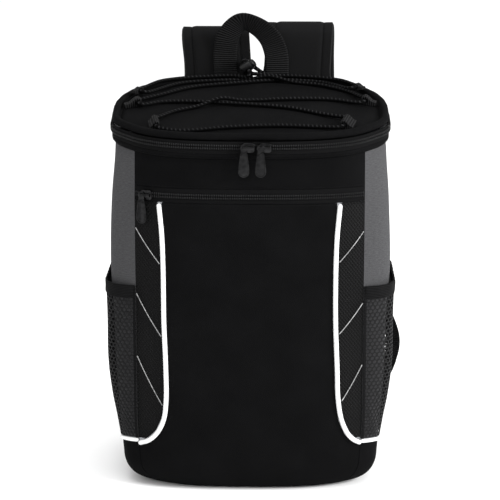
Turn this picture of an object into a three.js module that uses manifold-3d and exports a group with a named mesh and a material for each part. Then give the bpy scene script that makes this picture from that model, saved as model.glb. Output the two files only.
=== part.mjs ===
// Cooler backpack: an insulated tub in cloth panels, a zipped lid laced with bungee cord,
// a zipped front pocket, two net side pockets, a grab handle and two shoulder straps.
// Millimetres, +Z up, front towards -Y, origin at the middle of the base, on the floor.
import * as THREE from "three";
import { mergeVertices } from "three/addons/utils/BufferGeometryUtils.js";
import Module from "manifold-3d";

const wasm = await Module();
wasm.setup();

// Driving sizes of the bag.
const BODY_WIDTH = 280; // widest, across the side panels
const BODY_DEPTH = 176; // front centre to back centre
const RIM_HEIGHT = 357; // the lid's zip at the front centre
const RIM_RISE = 0.14; // the lid plane climbs this much per millimetre of depth
const SEAM_SPAN = 226; // between the two seams that edge the front
const ROLL_HEIGHT = 32; // how high the rounded bottom edge reaches
const CLOTH = 1.2; // thickness of every cloth panel
const GAP = 0.3; // clearance between neighbouring pieces
const TUB_GAP = 0.5; // clearance between the panels and the tub behind them
const TUB_WALL = 6; // padded insulation
const FLOOR_LIFT = 0.3; // the rolled edge clears the floor by this
const BASE_SHARE = 0.985; // the base panel's size over the rolled edge's foot

// Bands at the rim, measured square to the lid plane from the zip's middle.
const GUSSET_DROP = 13.3; // gusset's lower seam
const FLARE = 3.5; // how far the rim bands stand proud of the body
const FLARE_TOP = -9.2; // where they reach that
const RIM_TAPE_DROP = 6.8; // lower edge of the zip tape
const RIM_TAPE_RISE = 5.2; // upper edge of the zip tape
const ROLL_RADIUS = 3.9; // padded roll round the lid's edge
const ROLL_RISE = 9.4; // middle of that roll
const TUB_RISE = 0.8; // top of the tub's wall
const LID_RISE = 1.4; // underside of the lid at its front edge
const LID_LIFT = 3; // how much higher the lid's underside lies at its back edge
const LID_THICKNESS = 6;
const LID_CROWN = 6; // how far the lid's middle swells

// Front pocket, hung under the rim: the yoke, the zip's tape, then the panel.
const YOKE_HEIGHT = 43.2; // from the lid's zip down to the pocket's zip tape
const POCKET_TAPE_WIDTH = 14.5;
const POCKET_DEPTH = 8; // hollow behind the front panel
const COIL_WIDTH = 5.4;
const COIL_THICKNESS = 1.6;

// Trim.
const PIPING_RADIUS = 2.35;
const SIDE_PIPING_RADIUS = 2;
const PIPING_SINK = 1.2; // how far a piping's middle stands off the cloth's face
const WING_CORD = 1.1; // width of the thin cords across the wings
const NET = 1; // thickness of the side pockets' net
const BINDING = 1.8; // thickness of their elastic
const BINDING_HEIGHT = 13;
const NET_STAND = 7; // how far the net bellies off the side
const POCKET_MOUTH = 212; // top of the side pockets
const BACK_PAD = 8; // padding of the back panel

// Hardware.
const SLIDER_LENGTH = 13;
const SLIDER_WIDTH = 9.5;
const SLIDER_PLATE = 1.8;
const SLIDER_NOSE = 3; // cut off the corners at the slider's leading end
const BRIDGE_WIDTH = 3;
const PULLER_LENGTH = 29;
const PULLER_WIDTH = 10.8;
const PULLER_THICKNESS = 1.6;
const EYE_RADIUS = 1.5;
const EYE_RIM = 1.5;
const NECK_WIDTH = 4.6; // the puller below its eye
const POST_RADIUS = 1.1;
const CORD_RADIUS = 2;
const LOCK_RADIUS = 7.3;
const LOCK_OVAL = 0.72; // thickness of the oval lock over its width
const LOCK_HALF = 6; // half the barrel's length
const BUTTON_RADIUS = 6;
const BUTTON_PROUD = 4; // how far the button stands out of the barrel
const BUTTON_TRAVEL = 2.5;
const LOCK_PLAY = 0.5; // room round the cords in the lock

// Webbing and straps.
const WEBBING = 1.8; // thickness
const HANDLE_WIDTH = 24.5;
const LOOP_WIDTH = 18; // of the two front cord loops
const EYE_PLAY = 0.7; // room round the cord in a loop's eye
const LOOP_REACH = 0.985; // a loop stops at this share of the lid's width
const LOOP_BEND = 4; // radius of the cord's bends at a loop
const STRAP_WIDTH = 70;
const STRAP_THICKNESS = 8;
const STRAP_FOOT = 12; // a strap's sewn end over the rim's height
const STRAP_SLANT = 0.9; // the hanging strap stands this much further back
const FOLD_RADIUS = 9.5; // of the fold at a strap's top, to its middle
const LOWER_WEBBING_WIDTH = 24;
const LOCK_FRAME = { width: 34, height: 26, thickness: 4, bar: 4 };

const HALF_WIDTH = BODY_WIDTH / 2;
const HALF_DEPTH = BODY_DEPTH / 2;
const SEAM_X = SEAM_SPAN / 2;
const POCKET_TAPE_TOP = RIM_HEIGHT - YOKE_HEIGHT;
const PANEL_TOP = POCKET_TAPE_TOP - POCKET_TAPE_WIDTH;

// Sections of the bag seen from above, one row for each height, as shares of the named sizes:
// at of RIM_HEIGHT, side and backX of HALF_WIDTH, seam of SEAM_X, the rest of HALF_DEPTH.
// turn and backTurn are the outline's slant at the front seam and where the back begins.
const SECTIONS = [
  {
    at: 0.09, side: 0.925, seam: 0.98, front: 0.98, seamFront: 0.8, turn: 24,
    corner: 0.43, rear: 0.36, backX: 0.66, backY: 0.95, backTurn: 6, back: 0.985,
  },
  {
    at: 0.195, side: 0.946, seam: 1, front: 0.995, seamFront: 0.82, turn: 24,
    corner: 0.45, rear: 0.35, backX: 0.67, backY: 0.96, backTurn: 5, back: 1,
  },
  {
    at: 0.335, side: 0.971, seam: 1, front: 1, seamFront: 0.83, turn: 24,
    corner: 0.455, rear: 0.34, backX: 0.68, backY: 0.96, backTurn: 5, back: 1,
  },
  {
    at: 0.49, side: 0.981, seam: 1, front: 1, seamFront: 0.83, turn: 24,
    corner: 0.455, rear: 0.34, backX: 0.68, backY: 0.96, backTurn: 5, back: 1,
  },
  {
    at: 0.6, side: 0.996, seam: 1, front: 1, seamFront: 0.83, turn: 24,
    corner: 0.455, rear: 0.34, backX: 0.68, backY: 0.96, backTurn: 5, back: 1,
  },
  {
    at: 0.7, side: 0.996, seam: 1, front: 1, seamFront: 0.83, turn: 24,
    corner: 0.455, rear: 0.34, backX: 0.68, backY: 0.96, backTurn: 5, back: 1,
  },
  {
    at: 0.84, side: 0.984, seam: 1, front: 1, seamFront: 0.8, turn: 28,
    corner: 0.42, rear: 0.28, backX: 0.65, backY: 0.955, backTurn: 8, back: 1.005,
  },
  {
    at: 0.965, side: 0.963, seam: 1, front: 0.99, seamFront: 0.72, turn: 44,
    corner: 0.27, rear: 0.05, backX: 0.56, backY: 0.94, backTurn: 14, back: 1.02,
  },
  {
    at: 1.12, side: 0.963, seam: 1, front: 0.985, seamFront: 0.715, turn: 45,
    corner: 0.25, rear: -0.07, backX: 0.514, backY: 0.945, backTurn: 17, back: 1.03,
  },
];
const FOOTPRINT = {
  at: 0, side: 0.743, seam: 0.708, front: 0.75, seamFront: 0.6, turn: 36,
  corner: 0.25, rear: 0.34, backX: 0.557, backY: 0.75, backTurn: 12, back: 0.82,
};

// Piping down the front, at of PANEL_TOP and across of SEAM_X.
const PIPING_LEFT = [
  { at: 0.989, across: 0.783 },
  { at: 0.892, across: 0.761 },
  { at: 0.778, across: 0.752 },
  { at: 0.598, across: 0.75 },
  { at: 0.451, across: 0.738 },
  { at: 0.328, across: 0.736 },
  { at: 0.254, across: 0.76 },
  { at: 0.203, across: 0.823 },
  { at: 0.174, across: 0.9 },
  { at: 0.162, across: 0.972 },
];
const PIPING_RIGHT = [
  { at: 0.989, across: 0.783 },
  { at: 0.892, across: 0.761 },
  { at: 0.778, across: 0.752 },
  { at: 0.598, across: 0.754 },
  { at: 0.451, across: 0.77 },
  { at: 0.328, across: 0.783 },
  { at: 0.254, across: 0.815 },
  { at: 0.203, across: 0.872 },
  { at: 0.179, across: 0.927 },
  { at: 0.168, across: 0.975 },
];
// Piping under a net pocket, round of the outline's stations and at of RIM_HEIGHT.
const SIDE_PIPING = [
  { round: 1.03, at: 0.143 },
  { round: 1.4, at: 0.139 },
  { round: 2, at: 0.127 },
  { round: 2.6, at: 0.124 },
  { round: 3.2, at: 0.124 },
  { round: 3.86, at: 0.124 },
];
// Thin cords across the wings, from the seam to the piping, at of PANEL_TOP.
const WING_LINES = {
  left: [
    { seamAt: 0.909, pipingAt: 0.794 },
    { seamAt: 0.685, pipingAt: 0.545 },
    { seamAt: 0.468, pipingAt: 0.306 },
  ],
  right: [
    { seamAt: 0.899, pipingAt: 0.802 },
    { seamAt: 0.655, pipingAt: 0.556 },
    { seamAt: 0.441, pipingAt: 0.322 },
  ],
};
// How the net bellies out, up its height, as a share of NET_STAND.
const NET_BELLY = [
  { up: 0, stand: 0.06 },
  { up: 0.13, stand: 0.32 },
  { up: 0.28, stand: 0.72 },
  { up: 0.5, stand: 1 },
  { up: 0.75, stand: 0.9 },
  { up: 1, stand: 0.68 },
];

// Stations round half the outline: 0 front centre, 1 front seam, 2 end of the front corner,
// 3 start of the rear corner, 4 start of the back, 5 back centre. The left half is negative.
const NET_START = 1.035;
const SIDE_END = 3.9;
const ZIP_END = 3.88;
const HALF_STATIONS = [
  0, 0.25, 0.5, 0.72, 0.88, 1, 1.33, 1.67, 2, 2.5, 3, 3.25, 3.5, 3.75, 4, 4.33, 4.67, 5,
];
const RING_STATIONS = [...HALF_STATIONS.slice(1, -1).reverse().map((s) => -s), ...HALF_STATIONS];

const smooth = (t) => {
  const c = Math.min(1, Math.max(0, t));
  return c * c * (3 - 2 * c);
};
const lerp = THREE.MathUtils.lerp;

// Value of one column of a table, smoothly between its rows.
function tableValue(rows, key, column, x) {
  const last = rows.length - 1;
  if (x <= rows[0][key]) return rows[0][column];
  if (x >= rows[last][key]) return rows[last][column];
  const i = rows.findIndex((row, n) => n < last && x <= rows[n + 1][key]);
  const slope = (n) => {
    const a = rows[Math.max(0, n - 1)];
    const b = rows[Math.min(last, n + 1)];
    return (b[column] - a[column]) / (b[key] - a[key]);
  };
  const span = rows[i + 1][key] - rows[i][key];
  const t = (x - rows[i][key]) / span;
  const rise = rows[i + 1][column] - rows[i][column];
  const start = slope(i) * span;
  const end = slope(i + 1) * span;
  return rows[i][column] + t * (start + t * (3 * rise - 2 * start - end + t * (start + end - 2 * rise)));
}

function sectionAt(height) {
  const at = height / RIM_HEIGHT;
  const row = {};
  for (const column of Object.keys(SECTIONS[0])) row[column] = tableValue(SECTIONS, "at", column, at);
  return row;
}

function bezier(a, b, c, d, t) {
  const u = 1 - t;
  return new THREE.Vector2()
    .addScaledVector(a, u * u * u)
    .addScaledVector(b, 3 * u * u * t)
    .addScaledVector(c, 3 * u * t * t)
    .addScaledVector(d, t * t * t);
}

// Point of half an outline, before any flare, for a station from 0 to 5.
function outlinePoint(row, s) {
  const seam = new THREE.Vector2(row.seam * SEAM_X, -row.seamFront * HALF_DEPTH);
  const turn = THREE.MathUtils.degToRad(row.turn);
  const slant = new THREE.Vector2(Math.cos(turn), Math.sin(turn));
  const side = row.side * HALF_WIDTH;
  const corner = new THREE.Vector2(side, -row.corner * HALF_DEPTH);
  const rear = new THREE.Vector2(side, row.rear * HALF_DEPTH);
  const back = new THREE.Vector2(row.backX * HALF_WIDTH, row.backY * HALF_DEPTH);
  const backTurn = THREE.MathUtils.degToRad(row.backTurn);
  const backSlant = new THREE.Vector2(-Math.cos(backTurn), Math.sin(backTurn));
  if (s <= 1) {
    const front = new THREE.Vector2(0, -row.front * HALF_DEPTH);
    const leave = new THREE.Vector2(0.36 * seam.x, front.y);
    return bezier(front, leave, seam.clone().addScaledVector(slant, -0.3 * seam.x), seam, s);
  }
  if (s <= 2) {
    const reach = 0.45 * seam.distanceTo(corner);
    const leave = seam.clone().addScaledVector(slant, reach);
    return bezier(seam, leave, new THREE.Vector2(side, corner.y - reach), corner, s - 1);
  }
  if (s <= 3) return corner.lerp(rear, s - 2);
  if (s <= 4) {
    const reach = 0.4 * rear.distanceTo(back);
    const leave = new THREE.Vector2(side, rear.y + reach);
    return bezier(rear, leave, back.clone().addScaledVector(backSlant, -reach), back, s - 3);
  }
  const centre = new THREE.Vector2(0, row.back * HALF_DEPTH);
  const reach = 0.36 * back.x;
  const arrive = new THREE.Vector2(reach, centre.y);
  return bezier(back, back.clone().addScaledVector(backSlant, reach), arrive, centre, s - 4);
}

const rimPlane = (y) => RIM_HEIGHT + RIM_RISE * (y + HALF_DEPTH);

function planNormal(row, s) {
  const step = 0.004;
  const a = outlinePoint(row, Math.max(0, s - step));
  const b = outlinePoint(row, Math.min(5, s + step));
  return new THREE.Vector2(b.y - a.y, a.x - b.x).normalize();
}

// Point of the bag's skin. v is the height, and below ROLL_HEIGHT it runs round the rolled edge.
function skinPoint(station, v) {
  const wrapped = THREE.MathUtils.euclideanModulo(station + 5, 10) - 5;
  const s = Math.abs(wrapped);
  const side = wrapped < 0 ? -1 : 1;
  if (v < ROLL_HEIGHT) {
    const angle = (Math.max(0, v) / ROLL_HEIGHT) * (Math.PI / 2);
    const full = outlinePoint(sectionAt(ROLL_HEIGHT), s);
    const foot = outlinePoint(FOOTPRINT, s);
    const p = foot.lerp(full, Math.sin(angle));
    const height = FLOOR_LIFT + (ROLL_HEIGHT - FLOOR_LIFT) * (1 - Math.cos(angle));
    return new THREE.Vector3(side * p.x, p.y, height);
  }
  const row = sectionAt(v);
  const p = outlinePoint(row, s);
  const over = v - rimPlane(p.y);
  const flare = FLARE * smooth((over + GUSSET_DROP + 1.2) / 5);
  p.addScaledVector(planNormal(row, s), flare);
  return new THREE.Vector3(side * p.x, p.y, v);
}

// Outward direction: square to the rolled edge, and level above it.
function skinNormal(station, v) {
  const ds = 0.01;
  const dv = 0.4;
  const along = skinPoint(station + ds, v).sub(skinPoint(station - ds, v));
  if (v >= ROLL_HEIGHT - dv) return new THREE.Vector3(along.y, -along.x, 0).normalize();
  const up = skinPoint(station, v + dv).sub(skinPoint(station, Math.max(0, v - dv)));
  return along.cross(up).normalize();
}

const skinAt = (station, v, out) => skinPoint(station, v).addScaledVector(skinNormal(station, v), out);

// Height at which a station meets the plane that lies rise above the zip's middle.
function rimHeight(station, rise) {
  let v = RIM_HEIGHT + rise;
  for (let pass = 0; pass < 5; pass++) v = rimPlane(skinPoint(station, v).y) + rise;
  return v;
}

const rimAt = (station, rise, out) => skinAt(station, rimHeight(station, rise), out);

// Station between lo and hi where the skin reaches x at the height v.
function stationAt(x, v, lo, hi) {
  let a = lo;
  let b = hi;
  const rising = skinPoint(hi, v).x > skinPoint(lo, v).x;
  for (let pass = 0; pass < 30; pass++) {
    const middle = (a + b) / 2;
    if (skinPoint(middle, v).x < x === rising) a = middle;
    else b = middle;
  }
  return (a + b) / 2;
}
const frontStation = (x, v) => Math.sign(x) * stationAt(Math.abs(x), v, 0, 1);

// Length round the outline of one station at this place, to turn a clearance into stations.
const stationLength = (station, v) =>
  skinPoint(station + 0.01, v).distanceTo(skinPoint(station - 0.01, v)) / 0.02;

const root = new THREE.Group();
const paint = (color, roughness, metalness = 0) => ({ color, roughness, metalness });
const BLACK_CLOTH = paint(0x17171a, 0.9);
const DIAMOND_CLOTH = paint(0x101013, 0.85);
const GREY_CLOTH = paint(0x5c5c60, 0.9);
const NET_CLOTH = paint(0x26262a, 0.9);
const WHITE_PIPING = paint(0xe4e4e4, 0.6);
const WEBBING_BLACK = paint(0x1b1b1e, 0.85);
const GUNMETAL = paint(0x2a2a2c, 0.3, 0.9);
const GLOSS_PLASTIC = paint(0x0e0e10, 0.3);
const FOAM = paint(0x6f7276, 0.8);
const CORD = paint(0x202024, 0.8);

function addMesh(name, geometry, finish, parent = root) {
  const mesh = new THREE.Mesh(geometry, new THREE.MeshStandardMaterial(finish));
  mesh.name = name;
  parent.add(mesh);
  return mesh;
}

// Closed body from quads and triangles of points. Faces that have shrunk to a line are left out,
// and a body that came out facing inwards is turned.
function closedBody(faces) {
  const keys = new Map();
  const positions = [];
  const indexOf = (p) => {
    const key = [p.x, p.y, p.z].map((c) => Math.round(c * 1e4)).join();
    if (!keys.has(key)) {
      keys.set(key, keys.size);
      positions.push(p.x, p.y, p.z);
    }
    return keys.get(key);
  };
  const index = [];
  const addTriangle = (a, b, c) => {
    if (a !== b && b !== c && c !== a) index.push(a, b, c);
  };
  let volume = 0;
  for (const face of faces) {
    const ids = face.map(indexOf);
    for (let i = 1; i + 1 < ids.length; i++) {
      addTriangle(ids[0], ids[i], ids[i + 1]);
      volume += face[0].dot(face[i].clone().cross(face[i + 1]));
    }
  }
  if (volume < 0) index.reverse();
  const geometry = new THREE.BufferGeometry();
  geometry.setAttribute("position", new THREE.Float32BufferAttribute(positions, 3));
  geometry.setIndex(index);
  geometry.computeVertexNormals();
  return geometry;
}

// Faces of a grid of points, rows of equal length, open at its ends unless a direction wraps.
function gridFaces(rows, wrapAcross = false, wrapAlong = false) {
  const faces = [];
  const across = rows[0].length;
  for (let j = 0; j < rows.length - (wrapAlong ? 0 : 1); j++) {
    const lower = rows[j];
    const upper = rows[(j + 1) % rows.length];
    for (let i = 0; i < across - (wrapAcross ? 0 : 1); i++) {
      const n = (i + 1) % across;
      faces.push([lower[i], lower[n], upper[n], upper[i]]);
    }
  }
  return faces;
}

// Cloth between an outer and an inner grid, with its four edges closed.
function sheetBody(outer, inner, wrapAcross = false) {
  const last = outer.length - 1;
  const end = outer[0].length - 1;
  const faces = [
    ...gridFaces(outer, wrapAcross),
    ...gridFaces(inner, wrapAcross).map(([a, b, c, d]) => [a, d, c, b]),
    ...gridFaces([inner[0], outer[0]], wrapAcross),
    ...gridFaces([outer[last], inner[last]], wrapAcross),
  ];
  if (!wrapAcross) {
    const column = (grid, i) => grid.map((row) => row[i]);
    faces.push(...gridFaces([column(outer, 0), column(inner, 0)]));
    faces.push(...gridFaces([column(inner, end), column(outer, end)]));
  }
  return closedBody(faces);
}

// A body lofted through rings of points, closed by caps or joined end to end.
function loftBody(rings, joined = false) {
  const faces = gridFaces(rings, true, joined);
  if (!joined) {
    const last = rings.length - 1;
    faces.push([...rings[0]].reverse());
    faces.push([...rings[last]]);
  }
  return closedBody(faces);
}

// Stations from a to b: both ends and the shared stations between them.
function stationsBetween(a, b) {
  const shared = [...RING_STATIONS, ...HALF_STATIONS.slice(1).map((s) => 10 - s)];
  const inside = [...new Set(shared)].filter((s) => s > a + 0.04 && s < b - 0.04);
  return [a, ...inside.sort((p, q) => p - q), b];
}

const skinRow = (stations, height, out) => stations.map((s) => {
  const v = typeof height === "function" ? height(s) : height;
  return skinAt(s, v, typeof out === "function" ? out(s, v) : out);
});

// A cloth panel over the given stations, with its rows at the given heights.
function panel(stations, heights, outer = 0, inner = -CLOTH) {
  return sheetBody(
    heights.map((height) => skinRow(stations, height, outer)),
    heights.map((height) => skinRow(stations, height, inner)),
  );
}

// Curve whose steps follow its own points, so that tight turns get short steps.
class RouteCurve extends THREE.CatmullRomCurve3 {
  getPointAt(u, target) {
    return this.getPoint(u, target);
  }
  getTangentAt(u, target) {
    return this.getTangent(u, target);
  }
}

function tube(points, radius, sides, stepsEach) {
  const shape = new THREE.Shape();
  for (let i = 0; i < sides; i++) {
    const angle = ((i + 0.5) / sides) * 2 * Math.PI;
    const x = radius * Math.cos(angle);
    const y = radius * Math.sin(angle);
    if (i) shape.lineTo(x, y);
    else shape.moveTo(x, y);
  }
  const path = new RouteCurve(points, false, "centripetal");
  return new THREE.ExtrudeGeometry(shape, {
    steps: (points.length - 1) * stepsEach,
    extrudePath: path,
    bevelEnabled: false,
  });
}

function solidOf(geometry) {
  const plain = new THREE.BufferGeometry();
  plain.setAttribute("position", geometry.getAttribute("position"));
  if (geometry.index) plain.setIndex(geometry.index);
  const merged = mergeVertices(plain, 1e-4);
  const mesh = new wasm.Mesh({
    numProp: 3,
    vertProperties: merged.attributes.position.array,
    triVerts: new Uint32Array(merged.index.array),
  });
  return new wasm.Manifold(mesh);
}

function geometryOf(solid) {
  const mesh = solid.getMesh();
  const geometry = new THREE.BufferGeometry();
  geometry.setAttribute("position", new THREE.Float32BufferAttribute(mesh.vertProperties, 3));
  geometry.setIndex(Array.from(mesh.triVerts));
  geometry.computeVertexNormals();
  return geometry;
}

const boxBetween = (x0, y0, z0, x1, y1, z1) =>
  new THREE.BoxGeometry(x1 - x0, y1 - y0, z1 - z0).translate((x0 + x1) / 2, (y0 + y1) / 2, (z0 + z1) / 2);
const joined = (...parts) => parts.map(solidOf).reduce((a, b) => a.add(b));

// Heights shared by the tub and the panels, so that their facets lie over each other.
const ROLL_ROWS = [0.25, 0.5, 0.75, 1].map((share) => share * ROLL_HEIGHT);
const WALL_ROWS = [0.17, 0.31, 0.45, 0.59, 0.71, 0.83, 0.92].map((share) => share * RIM_HEIGHT);
const rimRow = (rise) => (s) => rimHeight(s, rise);

// How far the tub's wall stands back behind the front pocket.
function pocketHollow(station, v) {
  const across = smooth((0.72 - Math.abs(station)) / 0.16);
  const low = smooth((v - 0.22 * PANEL_TOP) / (0.16 * PANEL_TOP));
  const high = smooth((PANEL_TOP + 26 - v) / 22);
  return POCKET_DEPTH * across * low * high;
}

// Insulated tub: a padded cup whose outside backs every panel.
function insulatedTub() {
  const outside = (s, v) => -CLOTH - TUB_GAP - pocketHollow(s, v);
  const inside = (s, v) => outside(s, v) - TUB_WALL;
  const flat = (s) => skinAt(s, 0, -CLOTH - TUB_GAP);
  const centre = new THREE.Vector3(0, 0, flat(0).z);
  const innerCentre = centre.clone().setZ(centre.z + TUB_WALL);
  const outerHeights = [0, ...ROLL_ROWS, ...WALL_ROWS, rimRow(-GUSSET_DROP - 0.6), rimRow(FLARE_TOP)];
  const innerHeights = [...ROLL_ROWS, ...WALL_ROWS].filter((height, i) => i % 2 === 1).reverse();
  const rows = [
    RING_STATIONS.map(() => centre),
    ...outerHeights.map((height) => skinRow(RING_STATIONS, height, outside)),
    RING_STATIONS.map((s) => rimAt(s, TUB_RISE, -CLOTH - TUB_GAP)),
    RING_STATIONS.map((s) => rimAt(s, TUB_RISE, -CLOTH - TUB_GAP - TUB_WALL)),
    skinRow(RING_STATIONS, rimRow(FLARE_TOP), inside),
    ...innerHeights.map((height) => skinRow(RING_STATIONS, height, inside)),
    skinRow(RING_STATIONS, 0, inside),
    RING_STATIONS.map(() => innerCentre),
  ];
  return closedBody(gridFaces(rows, true));
}
addMesh("insulated_tub", insulatedTub(), FOAM);

// Base panel: the flat cloth that the bag stands on, inside the foot of the rolled edge.
function basePanel() {
  const edge = (z) => RING_STATIONS.map((s) => skinPoint(s, 0).multiplyScalar(BASE_SHARE).setZ(z));
  const top = FLOOR_LIFT + CLOTH;
  const middle = (z) => RING_STATIONS.map(() => new THREE.Vector3(0, 0, z));
  return closedBody(gridFaces([middle(0), edge(0), edge(top), middle(top)], true));
}
addMesh("base_panel", basePanel(), BLACK_CLOTH);

// Piping: its line over the front, and the two edges that the panels beside it keep clear of.
function pipingLine(rows, side) {
  return rows.map((row) => ({ x: side * row.across * SEAM_X, v: row.at * PANEL_TOP }));
}
function offsetLine(line, distance) {
  return line.map((p, i) => {
    const a = line[Math.max(0, i - 1)];
    const b = line[Math.min(line.length - 1, i + 1)];
    const length = Math.hypot(b.x - a.x, b.v - a.v);
    const out = distance / length;
    return { x: p.x + (a.v - b.v) * out, v: p.v + (b.x - a.x) * out };
  });
}
// Where an edge line lies at the height v; past its low end it is the seam.
function lineX(line, v, side, seamX) {
  const rows = [...line].reverse();
  if (v <= rows[0].v) return seamX;
  const i = rows.findIndex((row, n) => n + 1 < rows.length && v <= rows[n + 1].v);
  if (i < 0) return rows[rows.length - 1].x;
  const t = (v - rows[i].v) / (rows[i + 1].v - rows[i].v);
  return lerp(rows[i].x, rows[i + 1].x, t);
}
const PIPINGS = { left: pipingLine(PIPING_LEFT, -1), right: pipingLine(PIPING_RIGHT, 1) };
const PIPING_CLEAR = PIPING_RADIUS + GAP;
const seamStation = (v, side) => side * (1 - GAP / 2 / stationLength(0.99, v));
const seamEdge = (v, side) => skinPoint(seamStation(v, side), v).x;

function frontPanelEdge(side) {
  const name = side < 0 ? "left" : "right";
  const edge = offsetLine(PIPINGS[name], -side * PIPING_CLEAR);
  return (v) => frontStation(lineX(edge, v, side, seamEdge(v, side)), v);
}
function wingEdge(side) {
  const name = side < 0 ? "left" : "right";
  const edge = offsetLine(PIPINGS[name], side * PIPING_CLEAR);
  return (v) => frontStation(lineX(edge, v, side, seamEdge(v, side)), v);
}

// Front pocket panel: the wide middle of the front, which spreads to the seams under the piping.
function frontPocketPanel() {
  const leftEdge = frontPanelEdge(-1);
  const rightEdge = frontPanelEdge(1);
  const low = Math.min(...["left", "right"].map((name) => PIPINGS[name][PIPINGS[name].length - 1].v));
  const belowPiping = low - PIPING_CLEAR - 0.4;
  const upper = [0.2, 0.215, 0.25, 0.3, 0.4, 0.55, 0.7, 0.86, 1].map((share) => share * PANEL_TOP);
  const rows = [GAP, ...ROLL_ROWS, belowPiping, low - 1.2, low + 1, ...upper];
  const shares = RING_STATIONS.filter((s) => Math.abs(s) <= 1).map((s) => (s + 1) / 2);
  const grid = (out) => rows.map((v) => {
    const a = leftEdge(v);
    const b = rightEdge(v);
    return shares.map((share) => skinAt(lerp(a, b, share), v, out));
  });
  return sheetBody(grid(0), grid(-CLOTH));
}
addMesh("front_pocket_panel", frontPocketPanel(), BLACK_CLOTH);

function frontWing(side) {
  const inner = wingEdge(side);
  const line = PIPINGS[side < 0 ? "left" : "right"];
  const tip = line[line.length - 1].v + PIPING_CLEAR + 2.4;
  const bend = [0.21, 0.235, 0.28, 0.34, 0.45, 0.6, 0.75, 0.88, 1].map((share) => share * PANEL_TOP);
  const rows = [tip, ...bend.filter((v) => v > tip + 1)];
  const grid = (out) => rows.map((v) => {
    const a = inner(v);
    const b = seamStation(v, side);
    const stations = [a, (a + b) / 2, b];
    return (side < 0 ? stations.reverse() : stations).map((s) => skinAt(s, v, out));
  });
  return sheetBody(grid(0), grid(-CLOTH));
}
addMesh("front_wing_left", frontWing(-1), DIAMOND_CLOTH);
addMesh("front_wing_right", frontWing(1), DIAMOND_CLOTH);

for (const name of ["left", "right"]) {
  const points = PIPINGS[name].map((p) => skinAt(frontStation(p.x, p.v), p.v, PIPING_SINK));
  addMesh("front_piping_" + name, tube(points, PIPING_RADIUS, 6, 2), WHITE_PIPING);
}

// Thin cords across each wing.
function wingLine(side, row) {
  const steps = [0, 0.25, 0.5, 0.75, 1];
  const line = PIPINGS[side < 0 ? "left" : "right"];
  const from = row.seamAt * PANEL_TOP;
  const to = row.pipingAt * PANEL_TOP;
  const clear = GAP + 1;
  const bottom = frontStation(lineX(line, to, side, 0) + side * (PIPING_CLEAR + clear), to);
  const top = seamStation(from, side) - (side * clear) / stationLength(0.99, from);
  const bow = 0.06;
  const rings = steps.map((t) => {
    const s = lerp(top, bottom, t);
    const v = lerp(from, to, t + bow * Math.sin(Math.PI * t));
    const half = WING_CORD / 2;
    const at = (dv, out) => skinAt(s, v + dv, GAP + out);
    return [at(-half, 0), at(-half, WING_CORD), at(half, WING_CORD), at(half, 0)];
  });
  return loftBody(rings);
}
for (const [name, side] of [["left", -1], ["right", 1]]) {
  WING_LINES[name].forEach((row, i) => {
    addMesh("wing_cord_" + name + "_" + (i + 1), wingLine(side, row), WHITE_PIPING);
  });
}

// Pocket zip and the yoke above it, both across the front between the seams.
const frontStations = (v) => stationsBetween(seamStation(v, -1), seamStation(v, 1));
const tapeBottom = PANEL_TOP + GAP;
const tapeMiddle = (PANEL_TOP + POCKET_TAPE_TOP) / 2;
addMesh(
  "pocket_zip_tape",
  panel(frontStations(tapeMiddle), [tapeBottom, POCKET_TAPE_TOP]),
  BLACK_CLOTH,
);
addMesh(
  "pocket_zip_coil",
  panel(
    stationsBetween(seamStation(tapeMiddle, -1) + 0.02, seamStation(tapeMiddle, 1) - 0.02),
    [tapeMiddle - COIL_WIDTH / 2, tapeMiddle + COIL_WIDTH / 2],
    GAP + COIL_THICKNESS,
    GAP,
  ),
  WEBBING_BLACK,
);
const gussetSeam = rimRow(-GUSSET_DROP - GAP);
addMesh(
  "front_yoke",
  panel(frontStations(tapeMiddle), [POCKET_TAPE_TOP + GAP, WALL_ROWS[WALL_ROWS.length - 1], gussetSeam]),
  BLACK_CLOTH,
);

// Side panels, the boots under them, the net pockets and their piping.
const sidePipingHeight = (s) => tableValue(SIDE_PIPING, "round", "at", Math.abs(s)) * RIM_HEIGHT;
const sideStations = (side, from, to) => {
  const list = stationsBetween(from, to);
  return side < 0 ? list.map((s) => -s).reverse() : list;
};
const NET_TOP = POCKET_MOUTH - BINDING_HEIGHT;
// The mouth is a little higher at the seam than at the back.
const mouthHeight = (s) => {
  const along = (Math.abs(s) - NET_START) / (SIDE_END - NET_START);
  return POCKET_MOUTH + 1.2 * Math.cos(Math.PI * along);
};
function netStand(s, v) {
  const bottom = sidePipingHeight(s);
  const up = (v - bottom) / (mouthHeight(s) - bottom);
  const around = (Math.abs(s) - NET_START) / (SIDE_END - NET_START);
  const edges = Math.min(1, 1.35 * Math.pow(Math.sin(Math.PI * Math.min(1, Math.max(0, around))), 0.6));
  return GAP + (NET_STAND - GAP) * edges * tableValue(NET_BELLY, "up", "stand", up);
}

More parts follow.
